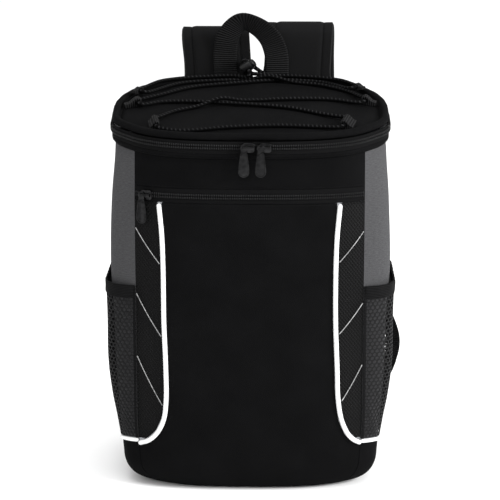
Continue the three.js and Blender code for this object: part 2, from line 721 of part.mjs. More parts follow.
for (const [name, side] of [["left", -1], ["right", 1]]) {
  const seam = 1 + GAP / 2 / stationLength(1.01, tapeMiddle);
  const pipingClear = SIDE_PIPING_RADIUS + GAP;
  const above = (s) => sidePipingHeight(s) + pipingClear;
  const below = (s) => sidePipingHeight(s) - pipingClear;
  const body = sideStations(side, seam, SIDE_END);
  addMesh("side_panel_" + name, panel(body, [above, ...WALL_ROWS, gussetSeam]), GREY_CLOTH);
  const bootHeights = [GAP, ...ROLL_ROWS.slice(0, 3), (s) => Math.min(ROLL_HEIGHT, below(s) - 0.8), below];
  addMesh("side_boot_" + name, panel(body, bootHeights), BLACK_CLOTH);

  const pipingPoints = sideStations(side, NET_START, SIDE_END - 0.04).map((s) =>
    skinAt(s, sidePipingHeight(s), SIDE_PIPING_RADIUS - CLOTH + GAP));
  addMesh("side_piping_" + name, tube(pipingPoints, SIDE_PIPING_RADIUS, 6, 1), WHITE_PIPING);

  const net = sideStations(side, NET_START, SIDE_END - 0.06);
  const inner = (s, v) => netStand(s, v);
  const outer = (s, v) => netStand(s, v) + NET;
  const netHeights = [0, 0.14, 0.3, 0.5, 0.75, 1].map((share) => (s) => {
    const bottom = above(s) + 1.2;
    return lerp(bottom, mouthHeight(s) - BINDING_HEIGHT - GAP, share);
  });
  addMesh("mesh_pocket_" + name, panel(net, netHeights, outer, inner), NET_CLOTH);
  const bandOuter = (s, v) => netStand(s, v) + BINDING;
  const bandHeights = [(s) => mouthHeight(s) - BINDING_HEIGHT, mouthHeight];
  addMesh("pocket_binding_" + name, panel(net, bandHeights, bandOuter, inner), WEBBING_BLACK);
}

// Padded back panel, which swells between its edges.
function backPanel() {
  const start = SIDE_END + 0.03;
  const stations = stationsBetween(start, 10 - start);
  const top = rimRow(-GUSSET_DROP - GAP - 0.4);
  const heights = [...ROLL_ROWS.slice(1), ...WALL_ROWS, top];
  const swell = (s, v) => {
    const edge = Math.min(s - start, 10 - start - s);
    const topEdge = (rimHeight(s, -GUSSET_DROP) - v) / 30;
    const bottomEdge = (v - ROLL_ROWS[1]) / 30;
    return BACK_PAD * smooth(edge / 0.3) * smooth(Math.min(topEdge, bottomEdge));
  };
  return panel(stations, heights, swell);
}
addMesh("back_panel", backPanel(), BLACK_CLOTH);

// Rim: gusset all the way round, zip tape and coil round the front and sides, hinge at the back.
function rimBand(stations, rises, outer, inner, wrap = false) {
  const grid = (out) => rises.map((rise) => stations.map((s) => rimAt(s, rise, out)));
  return sheetBody(grid(outer), grid(inner), wrap);
}
addMesh(
  "lid_gusset",
  rimBand(RING_STATIONS, [-GUSSET_DROP, FLARE_TOP, -RIM_TAPE_DROP - GAP], 0, -CLOTH, true),
  BLACK_CLOTH,
);
const zipStations = stationsBetween(-ZIP_END, ZIP_END);
addMesh("lid_zip_tape", rimBand(zipStations, [-RIM_TAPE_DROP, RIM_TAPE_RISE], 0, -CLOTH), BLACK_CLOTH);
addMesh(
  "lid_zip_coil",
  rimBand(zipStations, [-COIL_WIDTH / 2, COIL_WIDTH / 2], GAP + COIL_THICKNESS, GAP),
  WEBBING_BLACK,
);
addMesh(
  "lid_hinge",
  rimBand(stationsBetween(ZIP_END + 0.01, 10 - ZIP_END - 0.01), [-RIM_TAPE_DROP, RIM_TAPE_RISE], 0, -CLOTH),
  BLACK_CLOTH,
);

// Padded roll round the lid's edge.
function lidRoll() {
  const sides = 6;
  const rings = RING_STATIONS.map((s) => {
    const ring = [];
    for (let i = 0; i < sides; i++) {
      const angle = ((i + 0.5) / sides) * 2 * Math.PI;
      const out = ROLL_RADIUS * (Math.cos(angle) - 1);
      const centre = rimAt(s, RIM_TAPE_RISE, out);
      ring.push(centre.setZ(centre.z + ROLL_RISE - RIM_TAPE_RISE + ROLL_RADIUS * Math.sin(angle)));
    }
    return ring;
  });
  return loftBody(rings, true);
}
addMesh("lid_edge_roll", lidRoll(), BLACK_CLOTH);

// Lid: a padded panel inside the roll. share is 0 at its middle and 1 at its edge.
const LID_INSET = 2 * ROLL_RADIUS + GAP + 0.2;
const lidEdge = RING_STATIONS.map((s) => rimAt(s, RIM_TAPE_RISE, -LID_INSET));
const LID_FRONT_Y = rimAt(0, RIM_TAPE_RISE, -LID_INSET).y;
const LID_BACK_Y = rimAt(5, RIM_TAPE_RISE, -LID_INSET).y;
const LID_MIDDLE_Y = (LID_FRONT_Y + LID_BACK_Y) / 2;
const lidCrown = (share) => LID_CROWN * (1 - share * share);
const lidLift = (y) => LID_RISE + LID_LIFT * smooth((y - LID_FRONT_Y) / (LID_BACK_Y - LID_FRONT_Y));
function lidRow(share, rise) {
  return lidEdge.map((edge) => {
    const x = edge.x * share;
    const y = lerp(LID_MIDDLE_Y, edge.y, share);
    return new THREE.Vector3(x, y, rimPlane(y) + lidLift(y) + rise + lidCrown(share));
  });
}
// How far the lid's edge lies from its middle, along a ray at this angle.
function lidReach(angle) {
  const reach = lidEdge.map((p) => Math.atan2(p.y - LID_MIDDLE_Y, p.x));
  const apart = (i) => Math.atan2(Math.sin(angle - reach[i]), Math.cos(angle - reach[i]));
  let before = 0;
  for (let i = 1; i < lidEdge.length; i++) {
    if (apart(i) >= 0 && (apart(before) < 0 || apart(i) < apart(before))) before = i;
  }
  const a = lidEdge[before];
  const b = lidEdge[(before + 1) % lidEdge.length];
  // Where the ray crosses the edge between a and b.
  const ay = a.y - LID_MIDDLE_Y;
  const by = b.y - LID_MIDDLE_Y;
  const cross = (x0, y0, x1, y1) => x0 * y1 - y0 * x1;
  return cross(a.x, ay, b.x, by) / cross(Math.cos(angle), Math.sin(angle), b.x - a.x, by - ay);
}
// Share of the way from the lid's middle to its edge.
const lidShare = (x, y) =>
  Math.hypot(x, y - LID_MIDDLE_Y) / lidReach(Math.atan2(y - LID_MIDDLE_Y, x));
// Height of the lid's top face at a place on it.
function lidTop(x, y) {
  return rimPlane(y) + lidLift(y) + LID_THICKNESS + lidCrown(Math.min(1, lidShare(x, y)));
}
function lidNormal(x, y) {
  const d = 2;
  const slopeX = (lidTop(x + d, y) - lidTop(x - d, y)) / (2 * d);
  const slopeY = (lidTop(x, y + d) - lidTop(x, y - d)) / (2 * d);
  return new THREE.Vector3(-slopeX, -slopeY, 1).normalize();
}
const LID_SHARES = [1, 0.82, 0.45, 0];
addMesh(
  "lid_panel",
  sheetBody(
    LID_SHARES.map((share) => lidRow(share, LID_THICKNESS)),
    LID_SHARES.map((share) => lidRow(share, 0)),
    true,
  ),
  BLACK_CLOTH,
);

// Webbing loops for the cord. A tip lies at share of the way to the lid's edge, turn degrees round
// from the right; towardX and towardY point from it to the root. The front and middle loops lie on
// the lid; the rear ones stand on the roll, their eye raised over its top.
const THIN_WEBBING = 0.67 * WEBBING;
const LOOPS = {
  front_left: { turn: -147.71, share: 0.8952, towardX: -0.98, towardY: -0.18, width: LOOP_WIDTH },
  front_right: { turn: -30.68, share: 0.8805, towardX: 0.97, towardY: -0.25, width: LOOP_WIDTH },
  middle_left: { turn: 179.38, share: 0.8827, towardX: -0.98, towardY: -0.2, width: 0.45 * LOOP_WIDTH },
  middle_right: { turn: 4.59, share: 0.8985, towardX: 0.98, towardY: -0.2, width: 0.45 * LOOP_WIDTH },
  rear_left: {
    turn: 164.8, share: 0.9436, towardX: -0.8, towardY: -0.6,
    width: 0.4 * LOOP_WIDTH, raise: 3.4,
  },
  rear_right: {
    turn: 22.18, share: 0.9412, towardX: 0.8, towardY: -0.6,
    width: 0.4 * LOOP_WIDTH, raise: 4,
  },
};
const EYE = CORD_RADIUS + EYE_PLAY;
const ROLL_TOP = ROLL_RISE + ROLL_RADIUS;
function loopTip(row) {
  const angle = THREE.MathUtils.degToRad(row.turn);
  const reach = row.share * lidReach(angle);
  return new THREE.Vector3(reach * Math.cos(angle), LID_MIDDLE_Y + reach * Math.sin(angle), 0);
}
function loopFrame(row) {
  const eye = loopTip(row);
  const inward = new THREE.Vector3(-row.towardX, -row.towardY, 0).normalize();
  if (row.raise) {
    eye.z = rimPlane(eye.y) + ROLL_TOP + row.raise;
    inward.setZ(-0.3).normalize();
    const across = new THREE.Vector3(inward.y, -inward.x, 0).normalize();
    return { normal: new THREE.Vector3().crossVectors(across, inward), inward, across, eye };
  }
  const normal = lidNormal(eye.x, eye.y);
  inward.projectOnPlane(normal).normalize();
  eye.z = lidTop(eye.x, eye.y);
  eye.addScaledVector(normal, WEBBING + GAP + EYE);
  return { normal, inward, across: new THREE.Vector3().crossVectors(inward, normal), eye };
}
// How far a loop runs from its eye: to the roll's inner side, at whichever of its edges meets it first.
function loopLength(row) {
  if (row.raise) return row.width;
  const half = row.width / 2;
  const tip = loopTip(row);
  const inside = (length) => [-half, half].every((reach) => {
    const x = tip.x + row.towardX * length - row.towardY * reach;
    const y = tip.y + row.towardY * length + row.towardX * reach;
    return lidShare(x, y) < LOOP_REACH;
  });
  let length = 1;
  while (inside(length)) length += 0.5;
  return length;
}
function cordLoop(row) {
  const { normal, inward, across, eye } = loopFrame(row);
  const length = loopLength(row);
  const cloth = row.raise ? THIN_WEBBING : WEBBING;
  const outer = EYE + cloth;
  const neck = Math.min(outer + 3, length - 1);
  const outline = new THREE.Shape();
  outline.moveTo(-length, -outer);
  outline.lineTo(0, -outer);
  outline.absarc(0, 0, outer, -Math.PI / 2, Math.PI / 2, false);
  outline.lineTo(-neck, cloth - EYE + 0.6);
  outline.lineTo(-length, cloth - EYE);
  const hole = new THREE.Path();
  hole.absarc(0, 0, EYE, 0, 2 * Math.PI, true);
  outline.holes.push(hole);
  const geometry = new THREE.ExtrudeGeometry(outline, {
    depth: row.width,
    bevelEnabled: false,
    curveSegments: 4,
  });
  geometry.translate(0, 0, -row.width / 2);
  const place = new THREE.Matrix4().makeBasis(inward, normal, across);
  return geometry.applyMatrix4(place.setPosition(eye));
}
for (const [name, row] of Object.entries(LOOPS)) addMesh("cord_loop_" + name, cordLoop(row), WEBBING_BLACK);

// Cord lock behind the lid: an oval barrel whose axis climbs to the right. The two cords come up
// into it from the front, one behind the other, and leave at its back.
const LOCK_CENTRE = new THREE.Vector3(-5.5, 80.7, RIM_HEIGHT + 50.5);
const LOCK_AXIS = new THREE.Vector3(0.82, -0.1, 0.56).normalize();
const LOCK_THROUGH = new THREE.Vector3(-0.4, 0.45, 0.8).projectOnPlane(LOCK_AXIS).normalize();
const LOCK_ACROSS = new THREE.Vector3().crossVectors(LOCK_AXIS, LOCK_THROUGH);
const CORD_SPACING = CORD_RADIUS + 0.25;
const lockPoint = (axis, through, across) => LOCK_CENTRE.clone()
  .addScaledVector(LOCK_AXIS, axis)
  .addScaledVector(LOCK_THROUGH, through)
  .addScaledVector(LOCK_ACROSS, across);

function lockParts() {
  const slotWide = 2 * (CORD_SPACING + CORD_RADIUS + LOCK_PLAY);
  const slotHalf = CORD_RADIUS + LOCK_PLAY;
  const floor = 1.5;
  const turned = (profile) =>
    new THREE.LatheGeometry(profile.map(([r, z]) => new THREE.Vector2(r, z)), 12).scale(1, 1, LOCK_OVAL);
  const barrel = solidOf(turned([
    [0, -LOCK_HALF], [LOCK_RADIUS - 1, -LOCK_HALF], [LOCK_RADIUS, -LOCK_HALF + 1], [LOCK_RADIUS, LOCK_HALF],
    [BUTTON_RADIUS + GAP, LOCK_HALF], [BUTTON_RADIUS + GAP, floor - LOCK_HALF], [0, floor - LOCK_HALF],
  ]));
  const foot = floor - LOCK_HALF + BUTTON_TRAVEL + GAP;
  const top = LOCK_HALF + BUTTON_PROUD;
  const button = solidOf(turned([
    [0, foot], [BUTTON_RADIUS, foot], [BUTTON_RADIUS, top - 2], [BUTTON_RADIUS * 0.8, top - 0.7], [0, top],
  ]));
  const slot = boxBetween(-slotWide / 2, -slotHalf, -20, slotWide / 2, slotHalf, 20);
  const fork = boxBetween(-slotWide / 2, foot - 1, -20, slotWide / 2, slotHalf + BUTTON_TRAVEL, 20);
  // The lathe's own axis is y, the cords run along z, and x is across them.
  const place = new THREE.Matrix4().makeBasis(
    new THREE.Vector3().crossVectors(LOCK_AXIS, LOCK_THROUGH), LOCK_AXIS, LOCK_THROUGH);
  place.setPosition(LOCK_CENTRE);
  return {
    barrel: geometryOf(barrel.subtract(solidOf(slot))).applyMatrix4(place),
    button: geometryOf(button.subtract(solidOf(fork))).applyMatrix4(place),
  };
}
const lock = lockParts();
addMesh("cord_lock_barrel", lock.barrel, GLOSS_PLASTIC);
addMesh("cord_lock_button", lock.button, GLOSS_PLASTIC);

// Bungee cord: one length, from a tail behind the lock, through the lock and all six loops, and back.
// Its route is chosen by hand: places on the lid, with how far the cord rides up at a crossing, places
// on the roll, with how far inside its crest, and the heights over the lid plane elsewhere.
const onLid = (x, y, over = 0) => new THREE.Vector3(x, y, lidTop(x, y) + GAP + CORD_RADIUS + over);
function onRoll(x, inset) {
  const s = Math.sign(x) * stationAt(Math.abs(x), RIM_HEIGHT + 20, 3, 5);
  const p = rimAt(s, RIM_TAPE_RISE, -ROLL_RADIUS - inset);
  const reach = ROLL_RADIUS + CORD_RADIUS + 2 * GAP;
  return p.setZ(p.z - RIM_TAPE_RISE + ROLL_RISE + Math.sqrt(reach * reach - inset * inset));
}
const over = (x, y, height) => new THREE.Vector3(x, y, rimPlane(y) + height);
// Through a loop's eye and round the bend at each of its ends.
function throughLoop(name, way) {
  const row = LOOPS[name];
  const { eye, across, inward, normal } = loopFrame(row);
  const end = row.width / 2 + 0.8;
  const low = row.raise ? 0 : 1.2;
  const place = (reach, forward, drop) => eye.clone()
    .addScaledVector(across, way * reach)
    .addScaledVector(inward, forward)
    .addScaledVector(normal, -drop);
  return [
    place(-end - LOOP_BEND, LOOP_BEND, low),
    place(-end - 0.7 * LOOP_BEND, 0.3 * LOOP_BEND, low / 3),
    place(-end, 0, 0),
    place(end, 0, 0),
    place(end + 0.7 * LOOP_BEND, 0.3 * LOOP_BEND, low / 3),
    place(end + LOOP_BEND, LOOP_BEND, low),
  ];
}
// The two tails bend over behind the lock and hang side by side.
const TAIL = [
  over(14.5, 90, 16.1),
  over(7.5, 91.3, 19.7),
  over(0, 91.5, 25.2),
  over(-5, 90.8, 29.2),
  over(-7.6, 89.2, 31.7),
];
const tail = (reach) => TAIL.map((p) => p.clone().addScaledVector(LOCK_ACROSS, reach));
const cordRoute = [
  ...tail(CORD_SPACING),
  lockPoint(0, 6.5, CORD_SPACING),
  lockPoint(0, -6.5, CORD_SPACING),
  over(-4.2, 76, 18.6),
  over(-16, 81.5, 17.4),
  onRoll(-38, 4),
  onRoll(-66, 4),
  onRoll(-86, 4),
  onRoll(-100, 4),
  ...throughLoop("rear_left", 1),
  onLid(-74, 67),
  onLid(-40, 76),
  onLid(-6, 81),
  onLid(18, 77, 4.6),
  onLid(42, 71),
  onLid(72, 60),
  onLid(98, 42),
  ...throughLoop("middle_right", -1),
  onLid(80, 11),
  onLid(39, 7),
  onLid(-8, 0.5),
  onLid(-30, -6, 4.6),
  onLid(-52, -14),
  onLid(-75, -25),
  ...throughLoop("front_left", 1),
  onLid(-67, -73.5),
  onLid(-20, -66.5),
  onLid(30, -62.5),
  onLid(68, -64),
  ...throughLoop("front_right", 1),
  onLid(74, -33),
  onLid(38, -18.5),
  onLid(0, -11),
  onLid(-30, -6),
  onLid(-66, 1),
  onLid(-92, 3),
  ...throughLoop("middle_left", -1),
  onLid(-93, 26),
  onLid(-62, 48),
  onLid(-22, 62),
  onLid(18, 77),
  onLid(42, 79.5),
  onLid(72, 73),
  ...throughLoop("rear_right", 1),
  onRoll(98, 3.2),
  onRoll(84, 3.2),
  onRoll(66, 3.2),
  onRoll(38, 3.2),
  over(17, 84.5, 17),
  over(5, 81.5, 19.4),
  lockPoint(0, -7, -CORD_SPACING),
  lockPoint(0, 6.5, -CORD_SPACING),
  ...tail(-CORD_SPACING).reverse(),
];
addMesh("bungee_cord", tube(cordRoute, CORD_RADIUS, 6, 1), CORD);

// Sliders: a plate astride the coil, with a bridge that the puller's eye hangs on.
// Here x runs along the zip, -y away from the bag, z up.
const EYE_X = -3.8;
const COIL_FACE = GAP + COIL_THICKNESS;
function slider() {
  const half = SLIDER_LENGTH / 2;
  const inside = COIL_WIDTH / 2 + GAP + 0.2;
  const wide = SLIDER_WIDTH / 2;
  const face = COIL_FACE + GAP;
  const top = face + SLIDER_PLATE;
  const room = PULLER_THICKNESS + 2 * GAP;
  const bridgeTop = top + room + SLIDER_PLATE * 0.75;
  const post = new THREE.CylinderGeometry(POST_RADIUS, POST_RADIUS, bridgeTop - top + 1, 10);
  post.translate(EYE_X, -(top + bridgeTop - 1) / 2, 0);
  const plate = new THREE.Shape();
  const nose = SLIDER_NOSE;
  plate.moveTo(-half, -wide + nose);
  plate.lineTo(-half + nose, -wide);
  plate.lineTo(half - nose * 0.5, -wide);
  plate.lineTo(half, -wide + nose * 0.5);
  plate.lineTo(half, wide - nose * 0.5);
  plate.lineTo(half - nose * 0.5, wide);
  plate.lineTo(-half + nose, wide);
  plate.lineTo(-half, wide - nose);
  const plateBody = new THREE.ExtrudeGeometry(plate, { depth: SLIDER_PLATE, bevelEnabled: false });
  plateBody.rotateX(Math.PI / 2).translate(0, -face, 0);
  const bridgeHalf = BRIDGE_WIDTH / 2;
  const solid = joined(
    plateBody,
    boxBetween(-half + nose, -face - 0.2, inside, half - nose * 0.5, -GAP, wide),
    boxBetween(-half + nose, -face - 0.2, -wide, half - nose * 0.5, -GAP, -inside),
    post,
    boxBetween(EYE_X - bridgeHalf, -bridgeTop, -bridgeHalf, half - 1, -top - room, bridgeHalf),
    boxBetween(half - 2.8, -bridgeTop + 0.1, -bridgeHalf, half - 1, -top + 0.2, bridgeHalf),
  );
  return geometryOf(solid);
}
const PULLER_BACK = COIL_FACE + GAP + SLIDER_PLATE + GAP;
function puller() {
  const blade = PULLER_WIDTH / 2;
  const eyeOuter = EYE_RADIUS + EYE_RIM;
  const neck = NECK_WIDTH / 2;
  const shape = new THREE.Shape();
  const tip = -PULLER_LENGTH + blade;
  shape.moveTo(neck, -4);
  shape.absarc(0, 0, eyeOuter, -0.7, Math.PI + 0.7, false);
  shape.lineTo(-neck, -4);
  shape.lineTo(-blade, tip + 2);
  shape.absarc(0, tip, blade, Math.PI, 2 * Math.PI, false);
  shape.lineTo(blade, tip + 2);
  const eye = new THREE.Path();
  eye.absarc(0, 0, EYE_RADIUS, 0, 2 * Math.PI, true);
  shape.holes.push(eye);
  const geometry = new THREE.ExtrudeGeometry(shape, {
    depth: PULLER_THICKNESS,
    bevelEnabled: false,
    curveSegments: 6,
  });
  return geometry.rotateX(Math.PI / 2).translate(EYE_X, -PULLER_BACK, 0);
}

// Sliders along a zip: the station that each sits at and the middle height of its coil.
const ZIP_PLACES = {
  left: { x: -1.4, height: RIM_HEIGHT, rim: true },
  right: { x: 14.9, height: RIM_HEIGHT, rim: true },
  pocket: { x: -100.5, height: tapeMiddle, rim: false },
};
for (const [name, place] of Object.entries(ZIP_PLACES)) {
  const s = frontStation(place.x, place.height);
  const point = place.rim ? rimAt(s, 0, 0) : skinPoint(s, place.height);
  const along = skinPoint(s + 0.01, point.z).sub(skinPoint(s - 0.01, point.z));
  const holder = new THREE.Group();
  holder.position.copy(point);
  holder.rotation.z = Math.atan2(along.y, along.x);
  root.add(holder);
  addMesh("slider_" + name, slider(), GUNMETAL, holder);
  addMesh("puller_" + name, puller(), GUNMETAL, holder);
}

// A flat band swept along a route: each row gives its middle, the way it is wide, and its width.
function bandBody(rows, thickness, edge) {
  const points = rows.map((row) => row.at);
  const rings = rows.map((row, i) => {
    const ahead = points[Math.min(points.length - 1, i + 1)].clone().sub(points[Math.max(0, i - 1)]);
    const wide = row.wide.clone().projectOnPlane(ahead.normalize()).normalize();
    const face = new THREE.Vector3().crossVectors(ahead, wide);
    const half = row.width / 2;
    const corner = (a, t) => row.at.clone().addScaledVector(wide, a).addScaledVector(face, t);
    const t = thickness / 2;
    return [
      corner(-half, -t + edge), corner(-half + edge, -t), corner(half - edge, -t), corner(half, -t + edge),
      corner(half, t - edge), corner(half - edge, t), corner(-half + edge, t), corner(-half, t - edge),
    ];
  });
  return loftBody(rings);
}
// Rows between hand-chosen ones, on a smooth curve through them.
function smoothRows(rows, between) {
  const curve = new THREE.CatmullRomCurve3(rows.map((row) => row.at), false, "centripetal");
  const out = [];
  const count = (rows.length - 1) * between;
  for (let i = 0; i <= count; i++) {
    const t = i / count;
    const place = t * (rows.length - 1);
    const n = Math.min(rows.length - 2, Math.floor(place));
    const share = place - n;
    const wide = rows[n].wide.clone().lerp(rows[n + 1].wide, share);
    out.push({ at: curve.getPoint(t), wide, width: lerp(rows[n].width, rows[n + 1].width, share) });
  }
  return out;
}

// Grab handle: webbing that rises from the back seam, turns over and comes down again.
const BACK_FACE = skinPoint(5, RIM_HEIGHT + 24).y; // outside of the rim bands at the back centre
const HANDLE_Y = BACK_FACE + GAP + WEBBING / 2;
const HANDLE_ROUTE = [
  { x: -28.2, up: 18, out: 0, wideX: -1, wideY: 0, wideZ: 0 },
  { x: -28.2, up: 44, out: 0, wideX: -1, wideY: 0, wideZ: 0 },
  { x: -28.2, up: 66, out: -0.6, wideX: -1, wideY: 0, wideZ: 0.1 },
  { x: -24.5, up: 83, out: -4, wideX: -0.8, wideY: -0.3, wideZ: 0.5 },
  { x: -11, up: 97, out: -8, wideX: -0.1, wideY: -0.58, wideZ: 0.81 },
  { x: 5, up: 92, out: -8, wideX: 0.42, wideY: -0.5, wideZ: 0.76 },
  { x: 18.5, up: 79, out: -4, wideX: 0.8, wideY: -0.28, wideZ: 0.54 },
  { x: 25, up: 61, out: -0.8, wideX: 0.97, wideY: 0, wideZ: 0.2 },
  { x: 25.8, up: 42, out: 0, wideX: 1, wideY: 0, wideZ: 0 },
  { x: 25.8, up: 18, out: 0, wideX: 1, wideY: 0, wideZ: 0 },
];
const handleRows = HANDLE_ROUTE.map((row) => ({
  at: new THREE.Vector3(row.x, HANDLE_Y + row.out, RIM_HEIGHT + row.up),
  wide: new THREE.Vector3(row.wideX, row.wideY, row.wideZ),
  width: HANDLE_WIDTH,
}));
addMesh("grab_handle", bandBody(smoothRows(handleRows, 2), WEBBING, 0.4), WEBBING_BLACK);

// Shoulder straps: sewn on behind the handle, folded over at the top and hanging down the back.
const STRAP_Y = HANDLE_Y + WEBBING / 2 + GAP + STRAP_THICKNESS / 2;
const STRAPS = {
  left: { side: -1, topX: 38, top: 446, gather: 0.94 },
  right: { side: 1, topX: 49, top: 451, gather: 1 },
};
// Where a strap falls behind: out from its top and back from its front layer in millimetres,
// up and width as shares of its top height and its full width.
const STRAP_FALL = [
  { out: 2, back: 21, up: 0.9, width: 1, lean: 0 },
  { out: 6, back: 24, up: 0.76, width: 0.97, lean: 0.05 },
  { out: 16, back: 25, up: 0.62, width: 0.93, lean: 0.12 },
  { out: 34, back: 23, up: 0.5, width: 0.86, lean: 0.28 },
  { out: 56, back: 17, up: 0.42, width: 0.72, lean: 0.42 },
  { out: 70, back: 12, up: 0.37, width: 0.5, lean: 0.5 },
];
function strapRows(strap) {
  const at = (x, y, z) => new THREE.Vector3(strap.side * x, y, z);
  const flat = new THREE.Vector3(1, 0, 0);
  const foldZ = strap.top - STRAP_THICKNESS / 2 - FOLD_RADIUS;
  const rows = [
    { at: at(strap.topX - 4, STRAP_Y, RIM_HEIGHT + STRAP_FOOT), wide: flat, width: STRAP_WIDTH },
    {
      at: at(strap.topX - 2, STRAP_Y + STRAP_SLANT, lerp(RIM_HEIGHT + STRAP_FOOT, foldZ, 0.5)),
      wide: flat,
      width: STRAP_WIDTH,
    },
  ];
  for (const degrees of [0, 36, 72, 108, 144, 180]) {
    const angle = THREE.MathUtils.degToRad(degrees);
    const y = STRAP_Y + STRAP_SLANT + FOLD_RADIUS * (1 - Math.cos(angle));
    const x = strap.topX + 2 * (degrees / 180);
    rows.push({ at: at(x, y, foldZ + FOLD_RADIUS * Math.sin(angle)), wide: flat, width: STRAP_WIDTH });
  }
  for (const row of STRAP_FALL) {
    const lean = row.lean;
    rows.push({
      at: at((strap.topX + row.out) * strap.gather, STRAP_Y + row.back, row.up * strap.top),
      wide: new THREE.Vector3(1 - lean * 0.4, -strap.side * lean * 0.5, strap.side * lean),
      width: STRAP_WIDTH * row.width,
    });
  }
  return rows;
}

// Webbing from a bottom corner of the back up to the ladder lock: out, back, up and twist.
const WEBBING_ROUTES = {
  left: [
    { x: 96, y: 87.3, z: 34, wideX: 0.73, wideY: 0, wideZ: -0.68 },
    { x: 112, y: 89, z: 52, wideX: 0.73, wideY: -0.1, wideZ: -0.6 },
    { x: 124, y: 90, z: 72, wideX: 0.6, wideY: -0.7, wideZ: -0.3 },
    { x: 131, y: 95, z: 94, wideX: 0.45, wideY: -0.89, wideZ: 0 },
    { x: 131, y: 101, z: 113, wideX: 0.6, wideY: -0.8, wideZ: 0.1 },
  ],
  right: [
    { x: 96, y: 87.3, z: 34, wideX: 0.73, wideY: 0, wideZ: -0.68 },
    { x: 116, y: 89, z: 52, wideX: 0.73, wideY: -0.1, wideZ: -0.6 },
    { x: 137, y: 90, z: 70, wideX: 0.6, wideY: -0.7, wideZ: -0.3 },
    { x: 150, y: 94, z: 92, wideX: 0.45, wideY: -0.89, wideZ: 0 },
    { x: 151, y: 100, z: 114, wideX: 0.6, wideY: -0.8, wideZ: 0.1 },
  ],
};
function ladderLock() {
  const { width, height, thickness, bar } = LOCK_FRAME;
  const shape = new THREE.Shape();
  shape.moveTo(-width / 2, -height / 2);
  shape.lineTo(width / 2, -height / 2);
  shape.lineTo(width / 2, height / 2);
  shape.lineTo(-width / 2, height / 2);
  const slotHeight = (height - 3 * bar) / 2;
  for (const low of [-height / 2 + bar, -height / 2 + 2 * bar + slotHeight]) {
    const slot = new THREE.Path();
    slot.moveTo(-width / 2 + bar, low);
    slot.lineTo(-width / 2 + bar, low + slotHeight);
    slot.lineTo(width / 2 - bar, low + slotHeight);
    slot.lineTo(width / 2 - bar, low);
    shape.holes.push(slot);
  }
  return new THREE.ExtrudeGeometry(shape, { depth: thickness, bevelEnabled: false });
}
for (const [name, strap] of Object.entries(STRAPS)) {
  const rows = strapRows(strap);
  const fine = smoothRows(rows, 2);
  addMesh("shoulder_strap_" + name, bandBody(fine, STRAP_THICKNESS, 2), BLACK_CLOTH);

  // The ladder lock carries on from the strap's end, and the webbing from the ladder lock.
  const end = rows[rows.length - 1];
  const up = fine[fine.length - 2].at.clone().sub(end.at).normalize();
  const wide = end.wide.clone().projectOnPlane(up).normalize();
  const face = new THREE.Vector3().crossVectors(wide, up);
  const holder = new THREE.Matrix4().makeBasis(wide, up, face);
  const lockMiddle = end.at.clone().addScaledVector(up, -LOCK_FRAME.height / 2 - GAP);
  holder.setPosition(lockMiddle.clone().addScaledVector(face, -LOCK_FRAME.thickness / 2));
  addMesh("ladder_lock_" + name, ladderLock().applyMatrix4(holder), GLOSS_PLASTIC);

  const webbingRows = WEBBING_ROUTES[name].map((row) => ({
    at: new THREE.Vector3(strap.side * row.x, row.y, row.z),
    wide: new THREE.Vector3(strap.side * row.wideX, row.wideY, row.wideZ),
    width: LOWER_WEBBING_WIDTH,
  }));
  const across = wide.clone().multiplyScalar(strap.side);
  across.x *= strap.side * Math.sign(across.x);
  for (const below of [7, 0]) {
    const at = lockMiddle.clone().addScaledVector(up, -LOCK_FRAME.height / 2 - GAP - 0.5 - below);
    webbingRows.push({ at, wide: across, width: LOWER_WEBBING_WIDTH });
  }
  addMesh("strap_webbing_" + name, bandBody(smoothRows(webbingRows, 2), WEBBING, 0.4), WEBBING_BLACK);
}

export default root;
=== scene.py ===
import math

import bmesh
import bpy
import numpy as np
from mathutils import Matrix, Vector


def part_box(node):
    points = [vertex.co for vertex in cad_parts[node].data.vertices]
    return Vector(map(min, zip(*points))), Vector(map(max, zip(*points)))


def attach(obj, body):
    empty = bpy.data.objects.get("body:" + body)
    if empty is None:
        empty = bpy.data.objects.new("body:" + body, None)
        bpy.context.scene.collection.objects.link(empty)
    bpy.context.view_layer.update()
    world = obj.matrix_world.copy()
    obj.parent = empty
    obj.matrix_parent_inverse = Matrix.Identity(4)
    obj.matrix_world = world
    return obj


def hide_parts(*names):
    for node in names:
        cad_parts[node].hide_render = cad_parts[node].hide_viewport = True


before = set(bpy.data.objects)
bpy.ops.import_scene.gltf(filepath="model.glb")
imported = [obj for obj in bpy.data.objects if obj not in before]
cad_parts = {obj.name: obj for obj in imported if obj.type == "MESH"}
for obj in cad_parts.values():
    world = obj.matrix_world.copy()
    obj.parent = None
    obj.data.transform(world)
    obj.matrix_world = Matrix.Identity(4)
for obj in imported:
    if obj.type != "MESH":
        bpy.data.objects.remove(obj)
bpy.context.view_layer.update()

# Studio
# A plain white floor under soft light, a little stronger from the right.
# The camera stands a little over two metres off and looks down by fourteen degrees.
CAMERA_TURN, CAMERA_LIFT, CAMERA_AWAY = math.radians(1), math.radians(14), 2.2
CAMERA_TARGET = Vector((0, 0, 0.232))
CAMERA_LENS, CAMERA_SHIFT = 154.77, (-0.0017, -0.001)
scene = bpy.context.scene
back_way = Vector((
    math.sin(CAMERA_TURN) * math.cos(CAMERA_LIFT),
    -math.cos(CAMERA_TURN) * math.cos(CAMERA_LIFT),
    math.sin(CAMERA_LIFT),
))
right_way = Vector((math.cos(CAMERA_TURN), math.sin(CAMERA_TURN), 0))
camera_data = bpy.data.cameras.new("camera")
camera_data.lens = CAMERA_LENS
camera_data.sensor_width = 36
camera_data.shift_x, camera_data.shift_y = CAMERA_SHIFT
camera_data.clip_end = 60
camera = bpy.data.objects.new("camera", camera_data)
